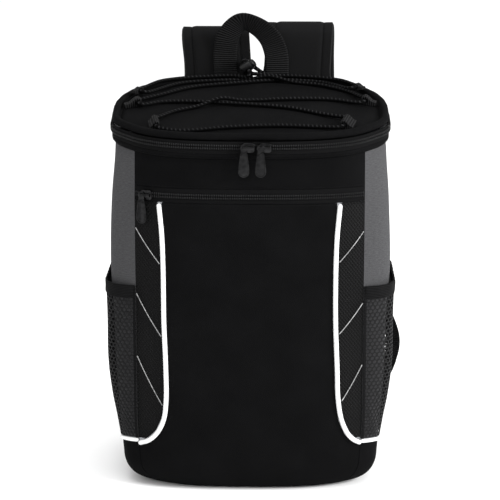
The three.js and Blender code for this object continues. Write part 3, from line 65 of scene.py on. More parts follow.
camera_axes = Matrix((right_way, back_way.cross(right_way), back_way)).transposed()
camera.matrix_world = Matrix.Translation(CAMERA_TARGET + back_way * CAMERA_AWAY) @ camera_axes.to_4x4()
scene.collection.objects.link(camera)
scene.camera = camera

world = bpy.data.worlds.new("white room")
world.use_nodes = True
world.node_tree.nodes["Background"].inputs["Color"].default_value = (1, 1, 1, 1)
world.node_tree.nodes["Background"].inputs["Strength"].default_value = 0.85
scene.world = world
scene.view_settings.view_transform = "Standard"
scene.view_settings.exposure = 0.3


def soft_light(name, place, size, power):
    data = bpy.data.lights.new(name, "AREA")
    data.size = size
    data.energy = power
    lamp = bpy.data.objects.new(name, data)
    lamp.location = place
    lamp.rotation_euler = (Vector((0, 0, 0.22)) - Vector(place)).to_track_quat("-Z", "Y").to_euler()
    scene.collection.objects.link(lamp)


soft_light("right light", (2.0, -0.8, 1.1), 0.9, 62)
soft_light("top light", (-0.3, -0.5, 2.2), 1.0, 16)
soft_light("left light", (-1.8, -1.6, 1.0), 1.0, 3)


def shader_node(tree, kind, values=None, **settings):
    """A shader node with its inputs set or linked."""
    made = tree.nodes.new(kind)
    for key, value in settings.items():
        setattr(made, key, value)
    for key, value in (values or {}).items():
        if isinstance(value, bpy.types.NodeSocket):
            tree.links.new(value, made.inputs[key])
        else:
            made.inputs[key].default_value = value
    return made


def sums(tree, operation, *values):
    """One Math node."""
    return shader_node(tree, "ShaderNodeMath", dict(enumerate(values)), operation=operation).outputs[0]


def finish_material(name, colour, roughness, **constants):
    """A material with its shader's plain values set, and its tree, shader and output."""
    made = bpy.data.materials.new(name)
    made.use_nodes = True
    tree = made.node_tree
    shader = tree.nodes["Principled BSDF"]
    shader.inputs["Base Color"].default_value = (*colour, 1)
    shader.inputs["Roughness"].default_value = roughness
    for key, value in constants.items():
        shader.inputs[key.replace("_", " ")].default_value = value
    return made, tree, shader


def toned(tree, shader, factor, dark, light, start=0.0, end=1.0):
    """Base colour that goes from one tone to another as the factor goes from start to end."""
    ramp = shader_node(tree, "ShaderNodeValToRGB", {"Fac": factor})
    low, high = ramp.color_ramp.elements
    low.position, high.position = start, end
    low.color, high.color = (*dark, 1), (*light, 1)
    tree.links.new(ramp.outputs["Color"], shader.inputs["Base Color"])
    return ramp.color_ramp


def object_place(tree):
    return shader_node(tree, "ShaderNodeTexCoord").outputs["Object"]


def speckle(tree, shader, vector, dark, light, scale, detail=3):
    """Colour that drifts between two tones, as on worn cloth or plastic."""
    noise = shader_node(tree, "ShaderNodeTexNoise", {"Vector": vector, "Scale": scale, "Detail": detail})
    toned(tree, shader, noise.outputs["Fac"], dark, light, 0.3, 0.7)


def relief(tree, shader, height, depth):
    """Bump from a height between 0 and 1, depth metres deep."""
    bump = shader_node(tree, "ShaderNodeBump", {"Height": height, "Distance": depth, "Strength": 1.0})
    tree.links.new(bump.outputs["Normal"], shader.inputs["Normal"])


floor_mesh = bpy.data.meshes.new("floor")
floor_mesh.from_pydata([(-30, -30, 0), (30, -30, 0), (30, 30, 0), (-30, 30, 0)], [], [(0, 1, 2, 3)])
floor = bpy.data.objects.new("floor", floor_mesh)
scene.collection.objects.link(floor)
floor_mesh.materials.append(
    finish_material("white floor", (0.93, 0.93, 0.93), 0.9, Specular_IOR_Level=0.1)[0],
)

# Insulated tub and base panel
# The tub is closed foam with a wipe-clean silver lining, sewn in at the rim. The base panel is the
# flat cloth it stands on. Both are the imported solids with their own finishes.
lining, tree, shader = finish_material("silver lining", (0.5, 0.51, 0.53), 0.35, Metallic=0.4)
place = object_place(tree)
speckle(tree, shader, place, (0.42, 0.43, 0.45), (0.56, 0.57, 0.6), 40)
creases = shader_node(tree, "ShaderNodeTexNoise", {"Vector": place, "Scale": 120.0, "Detail": 4.0})
relief(tree, shader, creases.outputs["Fac"], 0.0006)

base_cloth, tree, shader = finish_material(
    "base cloth", (0.004, 0.004, 0.0043), 0.8, Specular_IOR_Level=0.05,
)
place = object_place(tree)
speckle(tree, shader, place, (0.003, 0.003, 0.0032), (0.006, 0.006, 0.0063), 60)
threads = shader_node(tree, "ShaderNodeTexVoronoi", {"Vector": place, "Scale": 900.0})
relief(tree, shader, threads.outputs["Distance"], 0.0003)
for node, finish in (("insulated_tub", lining), ("base_panel", base_cloth)):
    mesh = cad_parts[node].data
    mesh.materials.clear()
    mesh.materials.append(finish)

# Front pocket panel
# One wide piece of black nylon over the front, loose enough to ripple a little, sewn under the piping
# at its sides and to the zip tape at its top. It opens the bag's own surface, which every panel follows.
MM = 0.001
BODY_WIDTH, BODY_DEPTH, RIM_HEIGHT, RIM_RISE = 280, 176, 357, 0.14
SEAM_SPAN, ROLL_HEIGHT, FLOOR_LIFT, FLARE, GUSSET_DROP = 226, 32, 0.3, 3.5, 13.3
CLOTH, GAP = 1.2, 0.3
HALF_WIDTH, HALF_DEPTH, SEAM_X = BODY_WIDTH / 2, BODY_DEPTH / 2, SEAM_SPAN / 2
SECTION_COLUMNS = (
    "at", "side", "seam", "front", "seam_front", "turn",
    "corner", "rear", "back_x", "back_y", "back_turn", "back",
)
SECTIONS = np.array([
    [0.09, 0.925, 0.98, 0.98, 0.8, 24, 0.43, 0.36, 0.66, 0.95, 6, 0.985],
    [0.195, 0.946, 1, 0.995, 0.82, 24, 0.45, 0.35, 0.67, 0.96, 5, 1],
    [0.335, 0.971, 1, 1, 0.83, 24, 0.455, 0.34, 0.68, 0.96, 5, 1],
    [0.49, 0.981, 1, 1, 0.83, 24, 0.455, 0.34, 0.68, 0.96, 5, 1],
    [0.6, 0.996, 1, 1, 0.83, 24, 0.455, 0.34, 0.68, 0.96, 5, 1],
    [0.7, 0.996, 1, 1, 0.83, 24, 0.455, 0.34, 0.68, 0.96, 5, 1],
    [0.84, 0.984, 1, 1, 0.8, 28, 0.42, 0.28, 0.65, 0.955, 8, 1.005],
    [0.965, 0.963, 1, 0.99, 0.72, 44, 0.27, 0.05, 0.56, 0.94, 14, 1.02],
    [1.12, 0.963, 1, 0.985, 0.715, 45, 0.25, -0.07, 0.514, 0.945, 17, 1.03],
])
FOOTPRINT = np.array([[0, 0.743, 0.708, 0.75, 0.6, 36, 0.25, 0.34, 0.557, 0.75, 12, 0.82]])


def smooth(t):
    c = np.clip(t, 0, 1)
    return c * c * (3 - 2 * c)


def between(xs, ys, x):
    """Smooth curve through rows of a table."""
    xs, ys = np.asarray(xs, float), np.asarray(ys, float)
    x = np.clip(x, xs[0], xs[-1])
    last = len(xs) - 1
    low = np.maximum(np.arange(last + 1) - 1, 0)
    high = np.minimum(np.arange(last + 1) + 1, last)
    slope = (ys[high] - ys[low]) / (xs[high] - xs[low])
    i = np.clip(np.searchsorted(xs, x) - 1, 0, last - 1)
    span = xs[i + 1] - xs[i]
    t = (x - xs[i]) / span
    rise = ys[i + 1] - ys[i]
    start, end = slope[i] * span, slope[i + 1] * span
    return ys[i] + t * (start + t * (3 * rise - 2 * start - end + t * (start + end - 2 * rise)))


def section_at(height):
    at = np.asarray(height, float) / RIM_HEIGHT
    return {
        name: between(SECTIONS[:, 0], SECTIONS[:, k], at)
        for k, name in enumerate(SECTION_COLUMNS)
    }


def bezier(a, b, c, d, t):
    u, t = (1 - t)[..., None], t[..., None]
    return a * u**3 + 3 * b * u * u * t + 3 * c * u * t * t + d * t**3


def outline(row, s):
    """Half an outline: stations 0 front centre, 1 seam, 2 corner, 3 rear corner, 4 back, 5 back centre."""
    s = np.broadcast_to(s, np.broadcast(s, row["side"]).shape)

    def point(x, y):
        return np.stack(np.broadcast_arrays(x + 0.0 * s, y + 0.0 * s), axis=-1)

    seam = point(row["seam"] * SEAM_X, -row["seam_front"] * HALF_DEPTH)
    turn, back_turn = np.radians(row["turn"]), np.radians(row["back_turn"])
    slant = point(np.cos(turn), np.sin(turn))
    back_slant = point(-np.cos(back_turn), np.sin(back_turn))
    side = row["side"] * HALF_WIDTH
    corner = point(side, -row["corner"] * HALF_DEPTH)
    rear = point(side, row["rear"] * HALF_DEPTH)
    back = point(row["back_x"] * HALF_WIDTH, row["back_y"] * HALF_DEPTH)
    front = point(0, -row["front"] * HALF_DEPTH)
    centre = point(0, row["back"] * HALF_DEPTH)
    leave = point(0.36 * seam[..., 0], front[..., 1])
    first = bezier(front, leave, seam - slant * 0.3 * seam[..., :1], seam, np.clip(s, 0, 1))
    reach = 0.45 * np.linalg.norm(seam - corner, axis=-1, keepdims=True)
    before = np.concatenate([corner[..., :1], corner[..., 1:] - reach], axis=-1)
    second = bezier(seam, seam + slant * reach, before, corner, np.clip(s - 1, 0, 1))
    third = corner + (rear - corner) * np.clip(s - 2, 0, 1)[..., None]
    reach = 0.4 * np.linalg.norm(rear - back, axis=-1, keepdims=True)
    after = np.concatenate([rear[..., :1], rear[..., 1:] + reach], axis=-1)
    fourth = bezier(rear, after, back - back_slant * reach, back, np.clip(s - 3, 0, 1))
    reach = 0.36 * back[..., :1]
    arrive = np.concatenate([reach, centre[..., 1:]], axis=-1)
    fifth = bezier(back, back + back_slant * reach, arrive, centre, np.clip(s - 4, 0, 1))
    at = s[..., None]
    rear_half = np.where(at <= 3, third, np.where(at <= 4, fourth, fifth))
    return np.where(at <= 1, first, np.where(at <= 2, second, rear_half))


def rim_plane(y):
    return RIM_HEIGHT + RIM_RISE * (y + HALF_DEPTH)


def skin(station, v):
    """The bag's surface: station round it, v up it, and round the rolled edge below its top."""
    station, v = np.broadcast_arrays(np.asarray(station, float), np.asarray(v, float))
    wrapped = np.mod(station + 5, 10) - 5
    s, side = np.abs(wrapped), np.where(wrapped < 0, -1, 1)
    angle = np.clip(v, 0, ROLL_HEIGHT) / ROLL_HEIGHT * math.pi / 2
    foot = {name: FOOTPRINT[0, k] + 0 * s for k, name in enumerate(SECTION_COLUMNS)}
    under = outline(foot, s)
    under = under + (outline(section_at(ROLL_HEIGHT + 0 * v), s) - under) * np.sin(angle)[..., None]
    row = section_at(np.maximum(v, ROLL_HEIGHT))
    p = outline(row, s)
    step = 0.004
    along = outline(row, np.minimum(5, s + step)) - outline(row, np.maximum(0, s - step))
    outward = np.stack([along[..., 1], -along[..., 0]], axis=-1)
    outward /= np.linalg.norm(outward, axis=-1, keepdims=True)
    p = p + outward * (FLARE * smooth((v - rim_plane(p[..., 1]) + GUSSET_DROP + 1.2) / 5))[..., None]
    low = v < ROLL_HEIGHT
    flat = np.where(low[..., None], under, p)
    z = np.where(low, FLOOR_LIFT + (ROLL_HEIGHT - FLOOR_LIFT) * (1 - np.cos(angle)), v)
    return np.stack([side * flat[..., 0], flat[..., 1], z], axis=-1)


def skin_normal(station, v):
    station, v = np.broadcast_arrays(np.asarray(station, float), np.asarray(v, float))
    along = skin(station + 0.01, v) - skin(station - 0.01, v)
    up = skin(station, v + 0.4) - skin(station, np.maximum(0, v - 0.4))
    level = np.stack([along[..., 1], -along[..., 0], 0 * v], axis=-1)
    out = np.where((v >= ROLL_HEIGHT - 0.4)[..., None], level, np.cross(along, up))
    return out / np.linalg.norm(out, axis=-1, keepdims=True)


def skin_at(station, v, out):
    shape = np.broadcast(station, v).shape
    return skin(station, v) + skin_normal(station, v) * np.broadcast_to(out, shape)[..., None]


ARC_STATIONS = np.linspace(0, 5, 201)


def lengths_along(path):
    """Length from the start of a path to each of its points."""
    return np.concatenate([[0], np.cumsum(np.linalg.norm(np.diff(path, axis=0), axis=1))])


ARC_HEIGHT = 200.0
ARC_LENGTHS = lengths_along(skin(ARC_STATIONS, ARC_HEIGHT))


def arc(station):
    """Length round the bag from its front centre, for weaves that run on from panel to panel."""
    wrapped = np.asarray(station, float)
    full = 2 * ARC_LENGTHS[-1]
    s = np.abs(wrapped)
    near = np.interp(s, ARC_STATIONS, ARC_LENGTHS)
    far = full - np.interp(10 - s, ARC_STATIONS, ARC_LENGTHS)
    length = np.where(s <= 5, near, far)
    return np.sign(wrapped) * length


def station_at(x, v, low=0.0, high=1.0):
    """Station at which the right half reaches x at the height v."""
    x, v = np.broadcast_arrays(np.asarray(x, float), np.asarray(v, float))
    a, b = np.full(x.shape, float(low)), np.full(x.shape, float(high))
    rising = skin(b, v)[..., 0] > skin(a, v)[..., 0]
    for _ in range(26):
        middle = (a + b) / 2
        go = (skin(middle, v)[..., 0] < x) == rising
        a, b = np.where(go, middle, a), np.where(go, b, middle)
    return (a + b) / 2


def front_station(x, v):
    return np.sign(x) * station_at(np.abs(x), v)


def grid_part(points, uv, flip=False):
    """Vertices, faces and corner UVs of a grid of points."""
    rows, cols = points.shape[:2]
    index = np.arange(rows * cols).reshape(rows, cols)
    faces = np.stack([index[:-1, :-1], index[:-1, 1:], index[1:, 1:], index[1:, :-1]], axis=-1).reshape(-1, 4)
    if flip:
        faces = faces[:, ::-1]
    return points.reshape(-1, 3), faces, uv.reshape(-1, 2)


def joined_mesh(name, parts, sharp=40.0, merge=2e-6):
    """A closed mesh from grids in millimetres, its doubles merged and its faces outwards."""
    verts = np.concatenate([p for p, _, _ in parts]) * MM
    uvs = np.concatenate([u for _, _, u in parts]) * MM
    start = np.cumsum([0] + [len(p) for p, _, _ in parts])
    faces = [list(map(int, face + start[k])) for k, (_, part, _) in enumerate(parts) for face in part]
    mesh = bpy.data.meshes.new(name)
    mesh.from_pydata(verts.tolist(), [], faces)
    layer = mesh.uv_layers.new(name="Cloth")
    corners = np.empty(len(mesh.loops), dtype=np.int32)
    mesh.loops.foreach_get("vertex_index", corners)
    layer.data.foreach_set("uv", uvs[corners].astype(np.float32).ravel())
    bm = bmesh.new()
    bm.from_mesh(mesh)
    bmesh.ops.remove_doubles(bm, verts=bm.verts, dist=merge)
    bmesh.ops.dissolve_degenerate(bm, dist=merge / 2, edges=bm.edges)
    bmesh.ops.recalc_face_normals(bm, faces=bm.faces)
    if bm.calc_volume(signed=True) < 0:
        bmesh.ops.reverse_faces(bm, faces=bm.faces)
    bm.to_mesh(mesh)
    bm.free()
    return smoothed(mesh, sharp)


def smoothed(mesh, sharp):
    """Smooth faces, with edges sharp past an angle in degrees."""
    mesh.shade_smooth()
    mesh.set_sharp_from_angle(angle=math.radians(sharp))
    return mesh


def evaluated_mesh(holder):
    """The mesh of an object with its modifiers applied. The object itself goes."""
    made = bpy.data.meshes.new_from_object(holder.evaluated_get(bpy.context.evaluated_depsgraph_get()))
    bpy.data.objects.remove(holder)
    return made


def placed_object(name, data):
    made = bpy.data.objects.new(name, data)
    scene.collection.objects.link(made)
    return made


def weld(bm, mesh, distance):
    """Merges doubles, turns the faces outwards and writes the mesh."""
    bmesh.ops.remove_doubles(bm, verts=bm.verts, dist=distance)
    bmesh.ops.recalc_face_normals(bm, faces=bm.faces)
    bm.to_mesh(mesh)
    bm.free()


def add_piece(name, mesh, material, body, nodes):
    """A piece of the object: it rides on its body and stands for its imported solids."""
    piece = placed_object(name, mesh)
    mesh.materials.clear()
    mesh.materials.append(material)
    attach(piece, body)
    if nodes:
        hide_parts(*nodes)
    return piece


def shell(name, outer, inner, uv):
    """Cloth between two grids, closed along its four edges."""
    def edge(a, b, uv_row):
        middle = (a + b) / 2
        spread = np.stack([a, middle, b])
        return grid_part(spread, np.stack([uv_row] * 3))
    parts = [
        grid_part(outer, uv),
        grid_part(inner, uv, flip=True),
        edge(inner[0], outer[0], uv[0]),
        edge(outer[-1], inner[-1], uv[-1]),
        edge(outer[:, 0], inner[:, 0], uv[:, 0]),
        edge(inner[:, -1], outer[:, -1], uv[:, -1]),
    ]
    return joined_mesh(name, parts)


def panel(name, stations, heights, out=0.0, thick=CLOTH):
    """A panel on the bag's surface from grids of stations and heights; out may be a function of both."""
    S, V = np.broadcast_arrays(np.asarray(stations, float), np.asarray(heights, float))
    outside = out(S, V) if callable(out) else out
    uv = np.stack([arc(S), V], axis=-1)
    return shell(name, skin_at(S, V, outside), skin_at(S, V, outside - thick), uv)


def ripple(S, V, height, seed=0.0):
    """Shallow unevenness of hand-sewn cloth, always outwards."""
    u = arc(S)
    waves = (
        np.sin(u / 31 + 1.3 * np.sin(V / 47 + seed) + seed)
        + 0.7 * np.sin(V / 23 + 1.1 * np.sin(u / 38 - seed) + 2 * seed)
        + 0.4 * np.sin(u / 11 + V / 17 + 3 * seed)
    )
    return height * (waves / 2.1 + 1) / 2


def cloth_place(tree):
    return shader_node(tree, "ShaderNodeUVMap", uv_map="Cloth").outputs["UV"]


def sine_wave(tree, length, period):
    """A sine along a length in metres, with its period in millimetres."""
    return sums(tree, "SINE", sums(tree, "MULTIPLY", length, 2 * math.pi / (period * MM)))


def woven(tree, shader, pitch, depth):
    """Plain weave of the given thread pitch in millimetres. Returns the thread height."""
    place = cloth_place(tree)
    split = shader_node(tree, "ShaderNodeSeparateXYZ", {"Vector": place})
    across, up = (sine_wave(tree, split.outputs[axis], pitch) for axis in "XY")
    height = sums(tree, "MULTIPLY_ADD", sums(tree, "MULTIPLY", across, up), 0.5, 0.5)
    fibres = shader_node(tree, "ShaderNodeTexNoise", {"Vector": place, "Scale": 700.0 / pitch, "Detail": 2.0})
    total = sums(tree, "MULTIPLY_ADD", fibres.outputs["Fac"], 0.5, height)
    relief(tree, shader, total, depth)
    return total


black_nylon, tree, shader = finish_material(
    "black nylon", (0.003, 0.003, 0.0032), 0.8, Specular_IOR_Level=0.02)
thread = woven(tree, shader, 0.9, 0.0002)
place = cloth_place(tree)
drift = shader_node(tree, "ShaderNodeTexNoise", {"Vector": place, "Scale": 22.0, "Detail": 5.0})
drifted = sums(tree, "MULTIPLY", drift.outputs["Fac"], 0.6)
tone = sums(tree, "ADD", sums(tree, "MULTIPLY", thread, 0.45), drifted)
toned(tree, shader, tone, (0.0012, 0.0012, 0.0013), (0.0055, 0.0055, 0.0058), 0.2, 1.0)

PANEL_TOP, PIPING_RADIUS = 299.3, 2.35
PIPING = {
    "left": np.array([
        [0.989, 0.783], [0.892, 0.761], [0.778, 0.752], [0.598, 0.75], [0.451, 0.738],
        [0.328, 0.736], [0.254, 0.76], [0.203, 0.823], [0.174, 0.9], [0.162, 0.972],
    ]),
    "right": np.array([
        [0.989, 0.783], [0.892, 0.761], [0.778, 0.752], [0.598, 0.754], [0.451, 0.77],
        [0.328, 0.783], [0.254, 0.815], [0.203, 0.872], [0.179, 0.927], [0.168, 0.975],
    ]),
}
SIDES = {"left": -1, "right": 1}
PIPING_CLEAR = PIPING_RADIUS + GAP


def piping_line(side):
    """The piping's line down the front: x and height."""
    rows = PIPING[side]
    return np.stack([SIDES[side] * rows[:, 1] * SEAM_X, rows[:, 0] * PANEL_TOP], axis=-1)


def beside(line, distance):
    ahead = line[np.minimum(np.arange(len(line)) + 1, len(line) - 1)]
    behind = line[np.maximum(np.arange(len(line)) - 1, 0)]
    way = ahead - behind
    length = np.linalg.norm(way, axis=-1, keepdims=True)
    return line + distance * np.stack([-way[:, 1], way[:, 0]], axis=-1) / length


def seam_station(v, side):
    length = np.linalg.norm(skin(1.0, v) - skin(0.98, v), axis=-1) / 0.02
    return side * (1 - GAP / 2 / length)


def edge_station(side, distance, v):
    """Station of a panel's edge beside the piping, and of the seam below the piping's end."""
    line = beside(piping_line(side), distance)[::-1]
    x = np.interp(v, line[:, 1], line[:, 0])
    inside = front_station(x, v)
    return np.where(v <= line[0, 1], seam_station(v, SIDES[side]), inside)


low = min(piping_line(side)[-1, 1] for side in SIDES)
below_piping = low - PIPING_CLEAR - 0.4
heights = np.unique(np.concatenate([
    np.linspace(GAP, ROLL_HEIGHT, 14),
    np.linspace(ROLL_HEIGHT, below_piping, 8),
    [low - 1.2, low + 1],
    np.linspace(0.19, 0.32, 14) * PANEL_TOP,
    np.linspace(0.33, 1, 56) * PANEL_TOP,
]))[:, None]
left_edge = edge_station("left", PIPING_CLEAR, heights[:, 0])[:, None]
right_edge = edge_station("right", -PIPING_CLEAR, heights[:, 0])[:, None]
stations = left_edge + (right_edge - left_edge) * np.linspace(0, 1, 81)[None, :]


def front_ease(S, V):
    """Loose cloth above the base, fullest under the pocket's mouth."""
    full = 0.7 * smooth((V - 150) / 140) * (1 - smooth((V - 285) / 14))
    return ripple(S, V, 1.0, 0.6) * smooth((V - 30) / 60) + full


front_mesh = panel("front_pocket_panel", stations, heights, front_ease)
add_piece("front_pocket_cloth", front_mesh, black_nylon, "bag", ["front_pocket_panel"])

# Front wings
# Between each piping and the front seam lies a wing of black nylon under a raised diamond mesh,
# which fades in broad slanting bands. It is sewn down along both its curved edges.
diamond_cloth, tree, shader = finish_material(
    "diamond mesh cloth", (0.004, 0.004, 0.0042), 0.6, Specular_IOR_Level=0.08)
place = cloth_place(tree)
split = shader_node(tree, "ShaderNodeSeparateXYZ", {"Vector": place})
DIAMOND_PITCH = 3.4
turn = math.pi / (DIAMOND_PITCH * MM)
lines = []
for way in (1, -1):
    slanted = sums(tree, "MULTIPLY_ADD", split.outputs["Y"], 0.8 * way, split.outputs["X"])
    lines.append(sums(tree, "ABSOLUTE", sums(tree, "SINE", sums(tree, "MULTIPLY", slanted, turn))))
mesh_height = sums(tree, "SUBTRACT", 1.0, sums(tree, "MINIMUM", lines[0], lines[1]))
mesh_height = sums(tree, "POWER", mesh_height, 1.6)
relief(tree, shader, mesh_height, 0.0007)
turned = {"Vector": place, "Rotation": (0, 0, 0.9), "Scale": (14, 3.2, 1)}
slanting = shader_node(tree, "ShaderNodeMapping", turned).outputs[0]
band = shader_node(tree, "ShaderNodeTexNoise", {"Vector": slanting, "Scale": 1.6, "Detail": 1.0})
strength = sums(tree, "MULTIPLY", mesh_height, band.outputs["Fac"])
toned(tree, shader, strength, (0.0008, 0.0008, 0.00085), (0.0075, 0.0075, 0.0078), 0.0, 0.6)
for side, sign in SIDES.items():
    tip = piping_line(side)[-1, 1] + PIPING_CLEAR + 2.4
    heights = np.concatenate([
        np.linspace(tip, 0.3 * PANEL_TOP, 22), np.linspace(0.3, 1, 60)[1:] * PANEL_TOP,
    ])[:, None]
    inner = edge_station(side, sign * PIPING_CLEAR, heights[:, 0])[:, None]
    outer = seam_station(heights, sign)
    share = np.linspace(0, 1, 25)[None, :]
    stations = inner + (outer - inner) * share if sign > 0 else outer + (inner - outer) * share
    wing = panel("front_wing_" + side, stations, heights, lambda S, V: ripple(S, V, 0.5, 2.0 + sign))
    add_piece("wing_cloth_" + side, wing, diamond_cloth, "bag", ["front_wing_" + side])

# White piping
# Round plastic piping sewn into the seams beside the wings and under the net pockets.
piping_plastic, tree, shader = finish_material(
    "white piping", (0.78, 0.78, 0.78), 0.42, Specular_IOR_Level=0.45,
)
place = object_place(tree)
speckle(tree, shader, place, (0.68, 0.68, 0.68), (0.8, 0.8, 0.8), 90)
grain = shader_node(tree, "ShaderNodeTexNoise", {"Vector": place, "Scale": 700.0, "Detail": 2.0})
relief(tree, shader, grain.outputs["Fac"], 0.00012)
SIDE_PIPING = np.array([[1.03, 0.143], [1.4, 0.139], [2, 0.127], [2.6, 0.124], [3.2, 0.124], [3.86, 0.124]])
SIDE_PIPING_RADIUS, PIPING_SINK, NET_START, SIDE_END = 2, 1.2, 1.035, 3.9


def through(points, step):
    """Evenly spaced places on a smooth curve through points."""
    points = np.asarray(points, float)
    ends = [2 * points[0] - points[1], 2 * points[-1] - points[-2]]
    p = np.concatenate([ends[:1], points, ends[1:]])
    out = []
    for i in range(1, len(p) - 2):
        d = [max(1e-4, np.linalg.norm(p[i + k] - p[i + k - 1]) ** 0.5) for k in (0, 1, 2)]
        chord = (p[i + 1] - p[i]) / d[1]
        m1 = ((p[i] - p[i - 1]) / d[0] - (p[i + 1] - p[i - 1]) / (d[0] + d[1]) + chord) * d[1]
        m2 = (chord - (p[i + 2] - p[i]) / (d[1] + d[2]) + (p[i + 2] - p[i + 1]) / d[2]) * d[1]
        t = np.linspace(0, 1, 25)[:-1, None]
        a, b = p[i], p[i + 1]
        out.append(a + t * (m1 + t * (3 * (b - a) - 2 * m1 - m2 + t * (m1 + m2 - 2 * (b - a)))))
    dense = np.concatenate(out + [points[-1:]])
    length = lengths_along(dense)
    count = max(2, int(round(length[-1] / step)) + 1)
    at = np.linspace(0, length[-1], count)
    return np.stack([np.interp(at, length, dense[:, k]) for k in range(3)], axis=-1)


def unit(v):
    return v / np.maximum(1e-9, np.linalg.norm(v, axis=-1, keepdims=True))


def frames(path, up=(0, 0, 1)):
    """Tangent and a steady side and top direction along a path."""
    tangent = unit(np.gradient(path, axis=0))
    top = np.empty_like(path)
    last = np.asarray(up, float)
    for i, t in enumerate(tangent):
        wish = 0.15 * np.asarray(up, float) + 0.85 * last
        wish = wish - t * wish.dot(t)
        if np.linalg.norm(wish) < 0.05:
            wish = last - t * last.dot(t)
        last = wish / np.linalg.norm(wish)
        top[i] = last
    return tangent, np.cross(tangent, top), top


def round_cord(path, radius, sides=14, up=(0, 0, 1), swell=None):
    """A cord along a path, with rounded ends. UV is length and the share of the way round, in decimetres."""
    tangent, side, top = frames(path, up)
    reach = np.full(len(path), float(radius)) if swell is None else radius * swell
    lead = np.array([1.0, 0.92, 0.7, 0.38, 0.0]) * radius
    shrink = np.sqrt(np.clip(1 - (lead / radius) ** 2, 0, 1))
    heads = [(path[0] - tangent[0] * l, reach[0] * k, 0) for l, k in zip(lead[:-1], shrink[:-1])]
    tails = [(path[-1] + tangent[-1] * l, reach[-1] * k, -1) for l, k in zip(lead[:-1], shrink[:-1])][::-1]
    rows = heads + [(p, r, i) for i, (p, r) in enumerate(zip(path, reach))] + tails
    angle = np.linspace(0, 2 * math.pi, sides + 1)
    cos, sin = np.cos(angle)[:, None], np.sin(angle)[:, None]
    centres = np.array([row[0] for row in rows])
    ring = np.array([centre + max(r, 1e-3) * (cos * side[i] + sin * top[i]) for centre, r, i in rows])
    length = lengths_along(centres)
    uv = np.stack(np.broadcast_arrays(length[:, None], (angle / (2 * math.pi) * 100)[None, :]), axis=-1)
    caps = [
        grid_part(np.stack([ring[0], np.broadcast_to(centres[0], ring[0].shape)]), np.stack([uv[0]] * 2)),
        grid_part(np.stack([np.broadcast_to(centres[-1], ring[-1].shape), ring[-1]]), np.stack([uv[-1]] * 2)),
    ]
    return [grid_part(ring, uv)] + caps


for side, sign in SIDES.items():
    line = piping_line(side)
    places = skin_at(front_station(line[:, 0], line[:, 1]), line[:, 1], PIPING_SINK)
    path = through(places, 1.5)
    mesh = joined_mesh("front_piping_" + side, round_cord(path, PIPING_RADIUS, 16))
    add_piece(
        "white_piping_front_" + side, mesh, piping_plastic, "bag", ["front_piping_" + side],
    )
    s = np.linspace(NET_START, SIDE_END - 0.04, 40)
    v = between(SIDE_PIPING[:, 0], SIDE_PIPING[:, 1], s) * RIM_HEIGHT
    path = through(skin_at(sign * s, v, SIDE_PIPING_RADIUS - CLOTH + GAP), 1.8)
    mesh = joined_mesh("side_piping_" + side, round_cord(path, SIDE_PIPING_RADIUS, 14))
    add_piece(
        "white_piping_side_" + side, mesh, piping_plastic, "bag", ["side_piping_" + side],
    )

# Wing cords
# Three thin white cords cross each wing from the seam down to the piping, laid flat on the mesh
# and held only at their ends.
WING_CORD = 1.1
cord_thread, tree, shader = finish_material(
    "pale cord thread", (0.3, 0.3, 0.3), 0.6, Specular_IOR_Level=0.2,
)
place = object_place(tree)
speckle(tree, shader, place, (0.14, 0.14, 0.14), (0.42, 0.42, 0.42), 350)
WING_LINES = {
    "left": ((0.909, 0.794), (0.685, 0.545), (0.468, 0.306)),
    "right": ((0.899, 0.802), (0.655, 0.556), (0.441, 0.322)),
}
for side, sign in SIDES.items():
    for number, (seam_at, piping_at) in enumerate(WING_LINES[side], 1):
        start, end = seam_at * PANEL_TOP, piping_at * PANEL_TOP
        line = piping_line(side)[::-1]
        x = np.interp(end, line[:, 1], line[:, 0]) + sign * (PIPING_CLEAR + GAP + 0.5)
        low_station = float(front_station(x, end))
        high_station = float(seam_station(start, sign)) - sign * 0.012
        t = np.linspace(0, 1, 24)
        s = high_station + (low_station - high_station) * t
        v = start + (end - start) * (t + 0.02 * np.sin(math.pi * t))
        path = skin_at(s, v, GAP + 0.5 + WING_CORD / 2)
        mesh = joined_mesh("wing_cord", round_cord(path, 0.42, 8, up=(0, -1, 0)))
        name = side + "_" + str(number)
        add_piece(
            "wing_cord_white_" + name, mesh, cord_thread, "bag", ["wing_cord_" + name],
        )

# Pocket zip
# A coil zip sewn across the front: black tape, and two rows of nylon teeth that meet in the middle.
# It runs from one front seam to the other, above the ends of the piping.
POCKET_TAPE_TOP, COIL_THICKNESS = 313.8, 1.6
TAPE_MIDDLE = (PANEL_TOP + POCKET_TAPE_TOP) / 2
zip_tape, tree, shader = finish_material("zip tape", (0.004, 0.004, 0.0043), 0.78, Specular_IOR_Level=0.04)
place = cloth_place(tree)
split = shader_node(tree, "ShaderNodeSeparateXYZ", {"Vector": place})
slanted = sums(tree, "ADD", split.outputs["X"], split.outputs["Y"])
twill = sine_wave(tree, slanted, 1.1)
relief(tree, shader, twill, 0.00012)
tone = sums(tree, "MULTIPLY_ADD", twill, 0.5, 0.5)
toned(tree, shader, tone, (0.0016, 0.0016, 0.0017), (0.006, 0.006, 0.0063))

tooth_nylon, tree, shader = finish_material(
    "zip tooth nylon", (0.006, 0.006, 0.0062), 0.36, Specular_IOR_Level=0.2,
)
place = object_place(tree)
speckle(tree, shader, place, (0.0025, 0.0025, 0.0026), (0.011, 0.011, 0.0115), 300)


